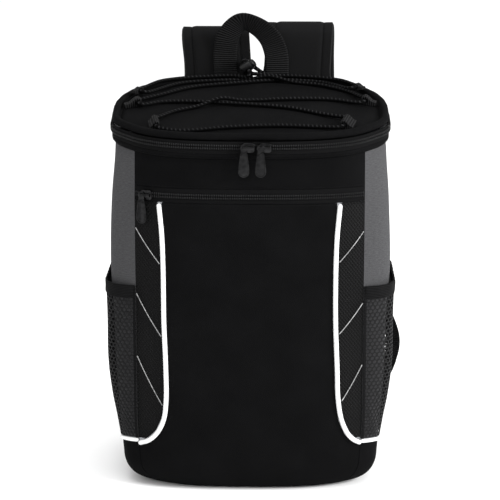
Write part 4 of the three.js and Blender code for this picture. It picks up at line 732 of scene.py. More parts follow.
def repeat_tree(name, shape):
    """Copies of a small rounded form along the curves of an object, each turned to run with its curve."""
    made = bpy.data.node_groups.new(name, "GeometryNodeTree")
    made.interface.new_socket("Geometry", in_out="INPUT", socket_type="NodeSocketGeometry")
    for label, kind in (("Pitch", "Float"), ("Size", "Vector"), ("Finish", "Material")):
        made.interface.new_socket(label, in_out="INPUT", socket_type="NodeSocket" + kind)
    made.interface.new_socket("Geometry", in_out="OUTPUT", socket_type="NodeSocketGeometry")
    given, result = made.nodes.new("NodeGroupInput"), made.nodes.new("NodeGroupOutput")
    spaced = made.nodes.new("GeometryNodeResampleCurve")
    spaced.mode = "LENGTH"
    bead = made.nodes.new("GeometryNodeMeshUVSphere")
    bead.inputs["Segments"].default_value = shape[0]
    bead.inputs["Rings"].default_value = shape[1]
    bead.inputs["Radius"].default_value = 0.5
    sized = made.nodes.new("GeometryNodeTransform")
    tangent = made.nodes.new("GeometryNodeInputTangent")
    turned = made.nodes.new("FunctionNodeAlignEulerToVector")
    turned.axis = "X"
    turned.pivot_axis = "Z"
    copies = made.nodes.new("GeometryNodeInstanceOnPoints")
    real = made.nodes.new("GeometryNodeRealizeInstances")
    soft = made.nodes.new("GeometryNodeSetShadeSmooth")
    finish = made.nodes.new("GeometryNodeSetMaterial")
    link = made.links.new
    link(given.outputs["Geometry"], spaced.inputs["Curve"])
    link(given.outputs["Pitch"], spaced.inputs["Length"])
    link(bead.outputs["Mesh"], sized.inputs["Geometry"])
    link(given.outputs["Size"], sized.inputs["Scale"])
    link(tangent.outputs["Tangent"], turned.inputs["Vector"])
    link(spaced.outputs["Curve"], copies.inputs["Points"])
    link(sized.outputs["Geometry"], copies.inputs["Instance"])
    link(turned.outputs["Rotation"], copies.inputs["Rotation"])
    link(copies.outputs["Instances"], real.inputs["Geometry"])
    link(real.outputs["Geometry"], soft.inputs["Geometry"])
    link(soft.outputs["Geometry"], finish.inputs["Geometry"])
    link(given.outputs["Finish"], finish.inputs["Material"])
    link(finish.outputs["Geometry"], result.inputs["Geometry"])
    return made


def repeated(name, group, paths, pitch, size, finish):
    """The tree's result along paths in millimetres, as a plain mesh."""
    curve = bpy.data.curves.new(name, "CURVE")
    curve.dimensions = "3D"
    for path in paths:
        line = curve.splines.new("POLY")
        line.points.add(len(path) - 1)
        line.points.foreach_set("co", np.hstack([path * MM, np.ones((len(path), 1))]).ravel())
    holder = placed_object(name + "_path", curve)
    modifier = holder.modifiers.new("repeat", "NODES")
    modifier.node_group = group
    values = {"Pitch": pitch * MM, "Size": [c * MM for c in size], "Finish": finish}
    for item in group.interface.items_tree:
        if item.item_type == "SOCKET" and item.in_out == "INPUT" and item.name in values:
            modifier[item.identifier] = values[item.name]
    result = evaluated_mesh(holder)
    bpy.data.curves.remove(curve)
    return result


tooth_tree = repeat_tree("zip teeth", (8, 6))
TOOTH_PITCH, TOOTH_SIZE, TOOTH_LIFT = 2.2, (1.25, 1.5, 2.4), GAP + 0.75
TOOTH_ROWS = (-1.45, 1.45)
v = np.linspace(PANEL_TOP + GAP, POCKET_TAPE_TOP, 12)[:, None]
s = np.linspace(-1, 1, 91)[None, :] * seam_station(TAPE_MIDDLE, 1)
tape = panel("pocket_zip_tape", s, v, lambda S, V: ripple(S, V, 0.15, 4))
add_piece("pocket_zip_tape_cloth", tape, zip_tape, "bag", ["pocket_zip_tape"])
s = np.linspace(-1, 1, 181) * (float(seam_station(TAPE_MIDDLE, 1)) - 0.02)
rows = [skin_at(s, TAPE_MIDDLE + up, TOOTH_LIFT) for up in TOOTH_ROWS]
teeth = repeated("pocket_teeth", tooth_tree, rows, TOOTH_PITCH, TOOTH_SIZE, tooth_nylon)
add_piece("pocket_zip_teeth", teeth, tooth_nylon, "bag", ["pocket_zip_coil"])

# Yoke and top stitching
# A band of black nylon between the pocket zip and the rim, with a row of black stitches just
# over the zip tape.
stitch_thread, tree, shader = finish_material(
    "stitch thread", (0.003, 0.003, 0.0032), 0.6, Specular_IOR_Level=0.08,
)
place = object_place(tree)
speckle(tree, shader, place, (0.0015, 0.0015, 0.0016), (0.005, 0.005, 0.0053), 500)
stitch_tree = repeat_tree("stitches", (6, 4))
STITCH, STITCH_PITCH = (2.3, 0.55, 0.5), 3.2


def rim_height(station, rise):
    v = RIM_HEIGHT + rise + 0.0 * np.asarray(station, float)
    for _ in range(5):
        v = rim_plane(skin(station, v)[..., 1]) + rise
    return v


def rim_at(station, rise, out):
    return skin_at(station, rim_height(station, rise), out)


s = np.linspace(-1, 1, 91)[None, :] * seam_station(TAPE_MIDDLE, 1)
top = rim_height(s, -GUSSET_DROP - GAP)
v = POCKET_TAPE_TOP + GAP + (top - POCKET_TAPE_TOP - GAP) * np.linspace(0, 1, 22)[:, None]
yoke = panel("front_yoke", s + 0 * v, v, lambda S, V: ripple(S, V, 0.5, 5) * smooth((top - V) / 5))
add_piece("front_yoke_cloth", yoke, black_nylon, "bag", ["front_yoke"])
s = np.linspace(-0.985, 0.985, 160)
rows = [skin_at(s, POCKET_TAPE_TOP + 1.8, 0.45), skin_at(s, PANEL_TOP - 1.6, 0.45)]
stitches = repeated("yoke_stitches", stitch_tree, rows, STITCH_PITCH, STITCH, stitch_thread)
add_piece("pocket_zip_stitches", stitches, stitch_thread, "bag", [])

# Side panels and boots
# Each side is heathered grey polyester from the front seam round to the back, and under the side
# piping a boot of black nylon that turns in under the rolled edge.
grey_cloth, tree, shader = finish_material(
    "grey polyester", (0.06, 0.06, 0.062), 0.85, Specular_IOR_Level=0.08)
thread = woven(tree, shader, 1.0, 0.00022)
place = cloth_place(tree)
long_fibres = shader_node(tree, "ShaderNodeMapping", {"Vector": place, "Scale": (260, 1100, 1)}).outputs[0]
heather = shader_node(tree, "ShaderNodeTexNoise", {"Vector": long_fibres, "Scale": 1.0, "Detail": 2.0})
heathered = sums(tree, "MULTIPLY", heather.outputs["Fac"], 0.7)
tone = sums(tree, "ADD", sums(tree, "MULTIPLY", thread, 0.4), heathered)
toned(tree, shader, tone, (0.022, 0.022, 0.0232), (0.074, 0.074, 0.077), 0.25, 1.0)


def side_piping_height(s):
    return between(SIDE_PIPING[:, 0], SIDE_PIPING[:, 1], np.abs(s)) * RIM_HEIGHT


for side, sign in SIDES.items():
    length = np.linalg.norm(skin(1.02, TAPE_MIDDLE) - skin(1.0, TAPE_MIDDLE)) / 0.02
    s = np.linspace(1 + GAP / 2 / length, SIDE_END, 92)[None, :] * sign
    s = s if sign > 0 else s[:, ::-1]
    low, top = side_piping_height(s) + SIDE_PIPING_RADIUS + GAP, rim_height(s, -GUSSET_DROP - GAP)
    v = low + (top - low) * np.linspace(0, 1, 84)[:, None]
    mesh = panel("side_panel_" + side, s + 0 * v, v,
                 lambda S, V: ripple(S, V, 0.9, 1.7 * sign) * smooth((V - 200) / 30) * smooth((top - V) / 8))
    add_piece("side_cloth_" + side, mesh, grey_cloth, "bag", ["side_panel_" + side])
    top = side_piping_height(s) - SIDE_PIPING_RADIUS - GAP
    v = GAP + (top - GAP) * np.linspace(0, 1, 22)[:, None]
    mesh = panel("side_boot_" + side, s + 0 * v, v, lambda S, V: ripple(S, V, 0.4, 3 * sign) * smooth(V / 20))
    add_piece("boot_cloth_" + side, mesh, black_nylon, "bag", ["side_boot_" + side])

# Net pockets
# Each side has a pocket of black knitted net with round holes, sewn in along its edges and
# gathered at the mouth by a ribbed elastic band.
NET, BINDING, BINDING_HEIGHT, NET_STAND, POCKET_MOUTH = 1, 1.8, 13, 7, 212
NET_BELLY = np.array([[0, 0.06], [0.13, 0.32], [0.28, 0.72], [0.5, 1], [0.75, 0.9], [1, 0.68]])
HOLE_PITCH, HOLE_RADIUS = 4.8, 2.0
net_knit, tree, shader = finish_material("net knit", (0.005, 0.005, 0.0053), 0.65, Specular_IOR_Level=0.1)
place = object_place(tree)
speckle(tree, shader, place, (0.004, 0.004, 0.0042), (0.009, 0.009, 0.0095), 400)
loops = shader_node(tree, "ShaderNodeTexVoronoi", {"Vector": place, "Scale": 1400.0})
relief(tree, shader, loops.outputs["Distance"], 0.0002)

elastic, tree, shader = finish_material(
    "ribbed elastic", (0.005, 0.005, 0.0053), 0.75, Specular_IOR_Level=0.04,
)
place = cloth_place(tree)
split = shader_node(tree, "ShaderNodeSeparateXYZ", {"Vector": place})
ribs = sine_wave(tree, split.outputs["Y"], 1.6)
picks = sine_wave(tree, split.outputs["X"], 1.1)
height = sums(tree, "MULTIPLY_ADD", picks, 0.25, ribs)
relief(tree, shader, height, 0.0002)
tone = sums(tree, "MULTIPLY_ADD", height, 0.4, 0.5)
toned(tree, shader, tone, (0.0015, 0.0015, 0.0016), (0.009, 0.009, 0.0095))


def mouth_height(s):
    along = (np.abs(s) - NET_START) / (SIDE_END - NET_START)
    return POCKET_MOUTH + 1.2 * np.cos(math.pi * along)


def net_stand(s, v):
    low = side_piping_height(s)
    up = (v - low) / (mouth_height(s) - low)
    around = np.clip((np.abs(s) - NET_START) / (SIDE_END - NET_START), 0, 1)
    edges = np.minimum(1, 1.35 * np.sin(math.pi * around) ** 0.6)
    return GAP + (NET_STAND - GAP) * edges * between(NET_BELLY[:, 0], NET_BELLY[:, 1], up)


def honeycomb(width, height):
    """A net of width by height millimetres: rings of six strands, each round one hole."""
    rise = HOLE_PITCH * math.sqrt(3) / 2
    verts, faces, seen = [], [], {}
    for row in range(int(height / rise) + 1):
        for column in range(int(width / HOLE_PITCH) + 1):
            cx, cy = (column + 0.5 * (row % 2)) * HOLE_PITCH, row * rise
            ring = []
            for k in range(6):
                angle = math.radians(30 + 60 * k)
                for reach, shared in ((HOLE_PITCH / math.sqrt(3), True), (HOLE_RADIUS, False)):
                    x, y = cx + reach * math.cos(angle), cy + reach * math.sin(angle)
                    key = (round(x, 2), round(y, 2)) if shared else (len(verts), k)
                    if key not in seen:
                        seen[key] = len(verts)
                        verts.append((x, y))
                    ring.append(seen[key])
            for k in range(6):
                n = (k + 1) % 6
                faces.append((ring[2 * k], ring[2 * n], ring[2 * n + 1], ring[2 * k + 1]))
    return np.array(verts), faces


s_end = SIDE_END - 0.06
for side, sign in SIDES.items():
    width = float(arc(s_end) - arc(NET_START))
    flat, strands = honeycomb(width - HOLE_PITCH, 158.0)
    s = np.interp(arc(NET_START) + np.clip(flat[:, 0] + HOLE_PITCH / 2, 0, width), ARC_LENGTHS, ARC_STATIONS)
    low = side_piping_height(s) + SIDE_PIPING_RADIUS + GAP + 1.2
    top = mouth_height(s) - BINDING_HEIGHT - GAP
    v = low + (top - low) * np.clip((flat[:, 1] + 1.5) / 161.0, 0, 1)
    points = skin_at(sign * s, v, net_stand(s, v) + NET / 2)
    mesh = bpy.data.meshes.new("mesh_pocket_" + side)
    mesh.from_pydata((points * MM).tolist(), [], strands)
    bm = bmesh.new()
    bm.from_mesh(mesh)
    weld(bm, mesh, 2e-5)
    holder = placed_object("net_" + side, mesh)
    thick = holder.modifiers.new("thickness", "SOLIDIFY")
    thick.thickness = 0.7 * MM
    thick.offset = 0
    mesh = smoothed(evaluated_mesh(holder), 50)
    add_piece("net_pocket_" + side, mesh, net_knit, "bag", ["mesh_pocket_" + side])
    s = np.linspace(1.006, NET_START + 0.02, 8)[None, :] * sign
    s = s if sign > 0 else s[:, ::-1]
    low = side_piping_height(s) + SIDE_PIPING_RADIUS + GAP
    v = low + (mouth_height(s) - low) * np.linspace(0, 1, 60)[:, None]
    mesh = panel("net_edge_" + side, s + 0 * v, v, GAP + NET + 0.3, 0.8)
    add_piece("net_edge_tape_" + side, mesh, elastic, "bag", [])
    s = np.linspace(NET_START, s_end, 120)[None, :] * sign
    s = s if sign > 0 else s[:, ::-1]
    across = np.linspace(0, 1, 14)[:, None]
    v = mouth_height(s) - BINDING_HEIGHT * (1 - across)
    round_over = 0.5 * np.sqrt(np.clip(1 - (2 * across - 1) ** 6, 0, 1)) - 0.5
    gathers = 0.35 * np.sin(arc(s) / 2.1) * np.sin(v / 5)
    stand = net_stand(s, v) + BINDING + round_over + gathers
    mesh = panel("pocket_binding_" + side, s + 0 * v, v, stand, BINDING - 0.4)
    add_piece("pocket_elastic_" + side, mesh, elastic, "bag", ["pocket_binding_" + side])

# Back panel
# Foam padding under spacer mesh, sewn down along its edges and in two upright channels, which
# lies against the wearer's back.
spacer_mesh, tree, shader = finish_material(
    "spacer mesh", (0.006, 0.006, 0.0063), 0.75, Specular_IOR_Level=0.06,
)
place = cloth_place(tree)
cells = shader_node(tree, "ShaderNodeTexVoronoi", {"Vector": place, "Scale": 330.0, "Randomness": 0.15})
relief(tree, shader, cells.outputs["Distance"], 0.0006)
tone = cells.outputs["Distance"]
toned(tree, shader, tone, (0.003, 0.003, 0.0032), (0.014, 0.014, 0.015), 0.0, 0.7)
BACK_PAD = 8
start = SIDE_END + 0.03
s = np.linspace(start, 10 - start, 121)[None, :]
low, top = 0.5 * ROLL_HEIGHT, rim_height(s, -GUSSET_DROP - GAP - 0.4)
v = low + (top - low) * np.linspace(0, 1, 140)[:, None]


def back_swell(S, V):
    edge = np.minimum(S - start, 10 - start - S)
    ends = np.minimum((rim_height(S, -GUSSET_DROP) - V) / 30, (V - 0.5 * ROLL_HEIGHT) / 30)
    channel = np.exp(-((np.abs(skin(S, V)[..., 0]) - 34) / 4.5) ** 2) * smooth(ends)
    return BACK_PAD * smooth(edge / 0.3) * smooth(ends) - 3.6 * channel + ripple(S, V, 0.5, 8) * smooth(ends)


mesh = panel("back_panel", s + 0 * v, v, back_swell)
add_piece("back_padding", mesh, spacer_mesh, "bag", ["back_panel"])

# Rim
# Round the top run a nylon gusset, the lid's coil zip on its tape and, at the back, the cloth
# hinge that joins the lid on. The teeth ride proud of the tape.
RIM_TAPE_DROP, RIM_TAPE_RISE, ZIP_END = 6.8, 5.2, 3.88


def rim_band(name, s, rises, out, thick=CLOTH):
    S, R = np.broadcast_arrays(s[None, :], rises[:, None])
    V = rim_height(S, R)
    O = out(S, R) if callable(out) else out
    uv = np.stack([arc(S), V], axis=-1)
    return shell(name, skin_at(S, V, O), skin_at(S, V, O - thick), uv)


s = np.linspace(-5, 5, 361)
mesh = rim_band("lid_gusset", s, np.linspace(-GUSSET_DROP, -RIM_TAPE_DROP - GAP, 9), 0.0)
add_piece("rim_gusset", mesh, black_nylon, "bag", ["lid_gusset"])
s = np.linspace(-ZIP_END, ZIP_END, 301)
mesh = rim_band("lid_zip_tape", s, np.linspace(-RIM_TAPE_DROP, RIM_TAPE_RISE, 10), 0.0)
add_piece("rim_zip_tape", mesh, zip_tape, "bag", ["lid_zip_tape"])
rows = [rim_at(np.linspace(-ZIP_END, ZIP_END, 500), up, TOOTH_LIFT) for up in TOOTH_ROWS]
teeth = repeated("rim_teeth", tooth_tree, rows, TOOTH_PITCH, TOOTH_SIZE, tooth_nylon)
add_piece("rim_zip_teeth", teeth, tooth_nylon, "bag", ["lid_zip_coil"])
s = np.linspace(ZIP_END + 0.01, 10 - ZIP_END - 0.01, 81)
mesh = rim_band("lid_hinge", s, np.linspace(-RIM_TAPE_DROP, RIM_TAPE_RISE, 10), 0.0)
add_piece("rim_hinge", mesh, black_nylon, "bag", ["lid_hinge"])
rows = [rim_at(np.linspace(-4.99, 4.99, 400), -GUSSET_DROP + 2.2, 0.4)]
stitches = repeated("rim_stitches", stitch_tree, rows, STITCH_PITCH, STITCH, stitch_thread)
add_piece("rim_stitching", stitches, stitch_thread, "bag", [])

# Lid and its edge roll
# The lid is foam between nylon, low at its edge and full in its middle, with a thin welt at its
# seam. Round it runs a stuffed nylon roll whose cloth puckers.
ROLL_RADIUS, ROLL_RISE, LID_RISE, LID_LIFT, LID_THICKNESS, LID_CROWN = 3.9, 9.4, 1.4, 3, 6, 6
LID_INSET = 2 * ROLL_RADIUS + GAP + 0.2
ring_s = np.linspace(-5, 5, 421)
angle = np.linspace(0, 2 * math.pi, 21)
folds = 1 + np.sin(arc(ring_s) / 1.6 + 2 * np.sin(arc(ring_s) / 9))
pucker = 1 - 0.035 * folds[None, :] * np.abs(np.cos(angle / 2))[:, None]
crest = rim_at(ring_s, RIM_TAPE_RISE, 0.0)
outward = skin_normal(ring_s, rim_height(ring_s, RIM_TAPE_RISE))
radius = ROLL_RADIUS * pucker[..., None]
points = (
    crest[None] + outward[None] * (radius * np.cos(angle)[:, None, None] - ROLL_RADIUS)
    + np.array([0, 0, 1.0]) * (ROLL_RISE - RIM_TAPE_RISE + radius * np.sin(angle)[:, None, None])
)
uv = np.stack(np.broadcast_arrays(arc(ring_s)[None, :], (angle * ROLL_RADIUS)[:, None]), axis=-1)
mesh = joined_mesh("lid_edge_roll", [grid_part(points, uv)])
add_piece("lid_roll", mesh, black_nylon, "bag", ["lid_edge_roll"])

lid_edge = rim_at(np.linspace(-5, 5, 241)[:-1], RIM_TAPE_RISE, -LID_INSET)
lid_front = float(rim_at(0.0, RIM_TAPE_RISE, -LID_INSET)[1])
lid_back = float(rim_at(5.0, RIM_TAPE_RISE, -LID_INSET)[1])
lid_middle = (lid_front + lid_back) / 2
edge_angle = np.unwrap(np.arctan2(lid_edge[:, 1] - lid_middle, lid_edge[:, 0]))
edge_reach = np.hypot(lid_edge[:, 0], lid_edge[:, 1] - lid_middle)
order = np.argsort(np.mod(edge_angle, 2 * math.pi))


def lid_share(x, y):
    """Share of the way from the lid's middle to its edge."""
    a = np.mod(np.arctan2(np.asarray(y, float) - lid_middle, np.asarray(x, float)), 2 * math.pi)
    full = np.interp(a, np.mod(edge_angle, 2 * math.pi)[order], edge_reach[order], period=2 * math.pi)
    return np.hypot(x, np.asarray(y, float) - lid_middle) / full


def lid_top(x, y, share=None):
    share = np.minimum(1, lid_share(x, y)) if share is None else share
    lift = LID_RISE + LID_LIFT * smooth((y - lid_front) / (lid_back - lid_front))
    return rim_plane(y) + lift + LID_THICKNESS + LID_CROWN * (1 - share * share)


closed_edge = np.concatenate([lid_edge, lid_edge[:1]])
share = np.concatenate([np.linspace(0, 0.9, 30), [0.93, 0.955, 0.975, 0.99, 1.0]])[:, None]
x = closed_edge[None, :, 0] * share
y = lid_middle + (closed_edge[None, :, 1] - lid_middle) * share
rounding = 2.2 * (1 - np.sqrt(np.clip(1 - smooth((share - 0.93) / 0.07) ** 2, 0, 1)))
wave = 0.35 * (np.sin(x / 17 + 1.4 * np.sin(y / 21)) + np.sin(y / 13 + 1.2 * np.sin(x / 29))) * (1 - share**4)
top = np.stack([x, y, lid_top(x, y, share) - rounding + np.minimum(0, wave)], axis=-1)
bottom = np.stack([x, y, lid_top(x, y, share) - LID_THICKNESS], axis=-1)
uv = np.stack([x, y], axis=-1)
rim_strip = grid_part(np.stack([top[-1], (top[-1] + bottom[-1]) / 2, bottom[-1]]), np.stack([uv[-1]] * 3))
mesh = joined_mesh("lid_panel", [grid_part(top, uv), grid_part(bottom, uv, flip=True), rim_strip])
add_piece("lid_padding", mesh, black_nylon, "bag", ["lid_panel"])
WELT_RADIUS, WELT_SPREAD, WELT_DROP = 1.5, 1.006, 1.6
x, y = closed_edge[:, 0], closed_edge[:, 1]
welt = np.stack([x * WELT_SPREAD, y, lid_top(x, y, np.ones(len(x))) - WELT_DROP], axis=-1)
mesh = joined_mesh("lid_welt", round_cord(welt, WELT_RADIUS, 10))
add_piece("lid_welt", mesh, black_nylon, "bag", [])

# Cord loops
# Six loops of ribbed webbing hold the cord: two wide ones at the front corners, and narrow ones
# at the middle and the back. Each is folded round the cord and sewn down behind it.
WEBBING, CORD_RADIUS, EYE_PLAY, LOOP_REACH = 1.8, 2, 0.7, 0.985
LOOPS = {
    "front_left": (-93, -57, -0.98, -0.18, 18, 0),
    "front_right": (94, -54, 0.97, -0.25, 18, 0),
    "middle_left": (-114, 3, -0.98, -0.2, 8.1, 0),
    "middle_right": (115, 11, 0.98, -0.2, 8.1, 0),
    "rear_left": (-115, 33, -0.8, -0.6, 7.2, 3.4),
    "rear_right": (108.5, 46, 0.8, -0.6, 7.2, 4),
}
EYE = CORD_RADIUS + EYE_PLAY
webbing_cloth, tree, shader = finish_material(
    "ribbed webbing", (0.005, 0.005, 0.0053), 0.7, Specular_IOR_Level=0.05,
)
place = cloth_place(tree)
split = shader_node(tree, "ShaderNodeSeparateXYZ", {"Vector": place})
ribs = sine_wave(tree, split.outputs["X"], 2.2)
bent = sums(tree, "MULTIPLY", ribs, 1.6)
picks = sums(tree, "SINE", sums(tree, "MULTIPLY_ADD", split.outputs["Y"], 2 * math.pi / (1.3 * MM), bent))
height = sums(tree, "MULTIPLY_ADD", picks, 0.35, ribs)
relief(tree, shader, height, 0.0003)
tone = sums(tree, "MULTIPLY_ADD", height, 0.37, 0.5)
toned(tree, shader, tone, (0.001, 0.001, 0.00105), (0.0145, 0.0145, 0.015))


def loop_frame(row):
    tip_x, tip_y, toward_x, toward_y, width, raised = row
    inward = unit(np.array([-toward_x, -toward_y, 0.0]))
    if raised:
        eye = np.array([tip_x, tip_y, rim_plane(tip_y) + ROLL_RISE + ROLL_RADIUS + raised])
        inward = unit(np.array([inward[0], inward[1], -0.3]))
        across = unit(np.array([inward[1], -inward[0], 0.0]))
        return np.cross(across, inward), inward, across, eye
    slope_x = float(lid_top(tip_x + 2, tip_y) - lid_top(tip_x - 2, tip_y)) / 4
    slope_y = float(lid_top(tip_x, tip_y + 2) - lid_top(tip_x, tip_y - 2)) / 4
    normal = unit(np.array([-slope_x, -slope_y, 1.0]))
    inward = unit(inward - normal * inward.dot(normal))
    eye = np.array([tip_x, tip_y, float(lid_top(tip_x, tip_y))]) + normal * (WEBBING + GAP + EYE)
    return normal, inward, np.cross(inward, normal), eye


def loop_length(row):
    tip_x, tip_y, toward_x, toward_y, width, raised = row
    if raised:
        return width

    def share_at(length, r):
        x = tip_x + toward_x * length - toward_y * r
        return lid_share(x, tip_y + toward_y * length + toward_x * r)

    length = 1.0
    while all(share_at(length, r) < LOOP_REACH for r in (-width / 2, width / 2)):
        length += 0.5
    return length


SHEET_EDGE = 0.3


def offset(points, distance):
    """A closed outline moved sideways."""
    way = unit(np.roll(points, -1, axis=0) - np.roll(points, 1, axis=0))
    return points + np.stack([-way[:, 1], way[:, 0]], axis=-1) * distance


def cut_sheet(name, outlines, thickness):
    """A flat form with its hole, as thick as given, with rounded edges."""
    curve = bpy.data.curves.new(name, "CURVE")
    curve.dimensions = "2D"
    curve.fill_mode = "BOTH"
    curve.extrude = (thickness / 2 - SHEET_EDGE) * MM
    curve.bevel_depth = SHEET_EDGE * MM
    curve.bevel_resolution = 2
    for points in outlines:
        line = curve.splines.new("POLY")
        line.points.add(len(points) - 1)
        flat = np.hstack([points * MM, np.zeros((len(points), 1)), np.ones((len(points), 1))])
        line.points.foreach_set("co", flat.ravel())
        line.use_cyclic_u = True
    return evaluated_mesh(placed_object(name, curve))


for name, row in LOOPS.items():
    normal, inward, across, eye = loop_frame(row)
    *_, width, raised = row
    length = loop_length(row)
    cloth = 0.67 * WEBBING if raised else WEBBING
    outer = EYE + cloth
    neck = max(min(outer + 3, length - 1), 0.75 * length)
    turn = np.linspace(-math.pi / 2, math.pi / 2, 25)
    drop = np.linspace(0, 1, 9)[1:]
    over = np.stack([-neck * drop, outer + (cloth - EYE + 0.6 - outer) * smooth(drop)], axis=-1)
    bend = np.stack([outer * np.cos(turn), outer * np.sin(turn)], axis=-1)
    outside = np.concatenate([[[-length, -outer]], bend, over, [[-length, cloth - EYE]]])
    turn = np.linspace(0, 2 * math.pi, 33)[:-1]
    hole = np.stack([EYE * np.cos(turn), EYE * np.sin(turn)], axis=-1)
    mesh = cut_sheet(name, (offset(outside, SHEET_EDGE), offset(hole, -SHEET_EDGE)), width)
    count = len(mesh.vertices)
    flat = np.empty(count * 3)
    mesh.vertices.foreach_get("co", flat)
    flat = flat.reshape(-1, 3)
    layer = mesh.uv_layers.new(name="Cloth") if "Cloth" not in mesh.uv_layers else mesh.uv_layers["Cloth"]
    corners = np.empty(len(mesh.loops), dtype=np.int32)
    mesh.loops.foreach_get("vertex_index", corners)
    layer.data.foreach_set("uv", flat[corners][:, [0, 2]].astype(np.float32).ravel())
    placed = eye * MM + flat[:, :1] * inward + flat[:, 1:2] * normal + flat[:, 2:3] * across
    mesh.vertices.foreach_set("co", placed.ravel())
    bm = bmesh.new()
    bm.from_mesh(mesh)
    weld(bm, mesh, 1e-6)
    smoothed(mesh, 40)
    add_piece("loop_" + name, mesh, webbing_cloth, "bag", ["cord_loop_" + name])

# Cord lock
# A moulded plastic barrel, oval in section, with a sprung button in its open end. The two cords run
# through a slot across both, and the spring pinches them.
LOCK_CENTRE = np.array([-5.5, 80.7, RIM_HEIGHT + 50.5])
LOCK_AXIS = unit(np.array([0.82, -0.1, 0.56]))
lock_way = np.array([-0.4, 0.45, 0.8])
LOCK_THROUGH = unit(lock_way - LOCK_AXIS * lock_way.dot(LOCK_AXIS))
LOCK_ACROSS = np.cross(LOCK_AXIS, LOCK_THROUGH)
LOCK_RADIUS, LOCK_OVAL, LOCK_HALF = 7.3, 0.72, 6
BUTTON_RADIUS, BUTTON_PROUD, BUTTON_TRAVEL, LOCK_PLAY = 6, 4, 2.5, 0.5
CORD_SPACING = CORD_RADIUS + 0.25
black_plastic, tree, shader = finish_material(
    "moulded plastic", (0.004, 0.004, 0.0043), 0.4, Specular_IOR_Level=0.2,
)
place = object_place(tree)
speckle(tree, shader, place, (0.003, 0.003, 0.0032), (0.006, 0.006, 0.0063), 150)
flow = shader_node(tree, "ShaderNodeTexNoise", {"Vector": place, "Scale": 900.0, "Detail": 2.0})
relief(tree, shader, flow.outputs["Fac"], 0.00004)
lock_place = Matrix((Vector(LOCK_ACROSS), Vector(LOCK_AXIS), Vector(LOCK_THROUGH))).transposed().to_4x4()
lock_place.translation = Vector(LOCK_CENTRE) * MM


def turned_part(name, profile, slot_low, slot_high):
    """A lathed oval form cut by the cords' slot, in the lock's own axes, with its edges eased."""
    angle = np.linspace(0, 2 * math.pi, 57)
    r, h = np.array(profile)[:, :1], np.array(profile)[:, 1:]
    rings = np.stack(np.broadcast_arrays(r * np.cos(angle), h, -LOCK_OVAL * r * np.sin(angle)), axis=-1)
    mesh = joined_mesh(name, [grid_part(rings, rings[..., :2])], merge=1e-5)
    holder = placed_object(name, mesh)
    half = CORD_SPACING + CORD_RADIUS + LOCK_PLAY
    box = bpy.data.meshes.new("slot")
    ends = ((-half, half), (slot_low, slot_high), (-20, 20))
    corners = [(x * MM, y * MM, z * MM) for x in ends[0] for y in ends[1] for z in ends[2]]
    sides = [(0, 1, 3, 2), (4, 6, 7, 5), (0, 4, 5, 1), (2, 3, 7, 6), (0, 2, 6, 4), (1, 5, 7, 3)]
    box.from_pydata(corners, [], sides)
    cutter = placed_object("slot", box)
    cut = holder.modifiers.new("slot", "BOOLEAN")
    cut.operation, cut.solver, cut.object = "DIFFERENCE", "EXACT", cutter
    ease = holder.modifiers.new("edges", "BEVEL")
    ease.width, ease.segments, ease.limit_method, ease.angle_limit = 0.25 * MM, 2, "ANGLE", math.radians(40)
    made = evaluated_mesh(holder)
    bpy.data.objects.remove(cutter)
    made.transform(lock_place)
    return smoothed(made, 35)


floor_wall = 1.5
barrel_profile = [
    (0, -LOCK_HALF), (LOCK_RADIUS - 1.6, -LOCK_HALF),
    (LOCK_RADIUS - 0.5, -LOCK_HALF + 0.6), (LOCK_RADIUS, -LOCK_HALF + 1.8),
    (LOCK_RADIUS, LOCK_HALF - 0.3), (LOCK_RADIUS - 0.2, LOCK_HALF), (BUTTON_RADIUS + GAP + 0.1, LOCK_HALF),
    (BUTTON_RADIUS + GAP, LOCK_HALF - 0.2), (BUTTON_RADIUS + GAP, floor_wall - LOCK_HALF),
    (0, floor_wall - LOCK_HALF),
]
foot = floor_wall - LOCK_HALF + BUTTON_TRAVEL + GAP
top = LOCK_HALF + BUTTON_PROUD
button_profile = [
    (0, foot), (BUTTON_RADIUS, foot), (BUTTON_RADIUS, top - 2), (0.975 * BUTTON_RADIUS, top - 1.4),
    (0.88 * BUTTON_RADIUS, top - 0.9), (0.7 * BUTTON_RADIUS, top - 0.5),
    (0.4 * BUTTON_RADIUS, top - 0.18), (0, top),
]
slot_half = CORD_RADIUS + LOCK_PLAY
barrel = turned_part("cord_lock_barrel", barrel_profile, -slot_half, slot_half)
button = turned_part("cord_lock_button", button_profile, foot - 1, slot_half + BUTTON_TRAVEL)
add_piece("lock_barrel", barrel, black_plastic, "bag", ["cord_lock_barrel"])
add_piece("lock_cap", button, black_plastic, "lock_button", ["cord_lock_button"])

# Bungee cord
# One length of elastic cord in a black braid with a pale tracer thread, whose dashes are painted on its
# upper, lit side only. It runs from a tail behind the lock through the lock and all six loops and back, and
# lies on the lid.
cord_braid, tree, shader = finish_material(
    "cord braid", (0.002, 0.002, 0.0021), 0.75, Specular_IOR_Level=0.02,
)
place = cloth_place(tree)
split = shader_node(tree, "ShaderNodeSeparateXYZ", {"Vector": place})
length, around = split.outputs["X"], sums(tree, "MULTIPLY", split.outputs["Y"], 20 * math.pi)
strands = []
for way in (1, -1):
    run = sums(tree, "MULTIPLY", length, 2 * math.pi / (2.1 * MM))
    helix = sums(tree, "MULTIPLY_ADD", around, 4.0 * way, run)
    strands.append(sums(tree, "SINE", helix))
braid = sums(tree, "MAXIMUM", strands[0], strands[1])
relief(tree, shader, braid, 0.0002)
# Pale dashes, partly the real tracer thread and partly a painted highlight: they are kept to the cord's upper
# side, where the light falls.
spot = sums(tree, "SINE", sums(tree, "MULTIPLY_ADD", length, 2 * math.pi / (4.2 * MM), around))
lit_upper_side = sums(tree, "SINE", around)
tracer_and_highlight = sums(tree, "MULTIPLY", sums(tree, "GREATER_THAN", spot, 0.6), sums(tree, "GREATER_THAN", lit_upper_side, 0.25))
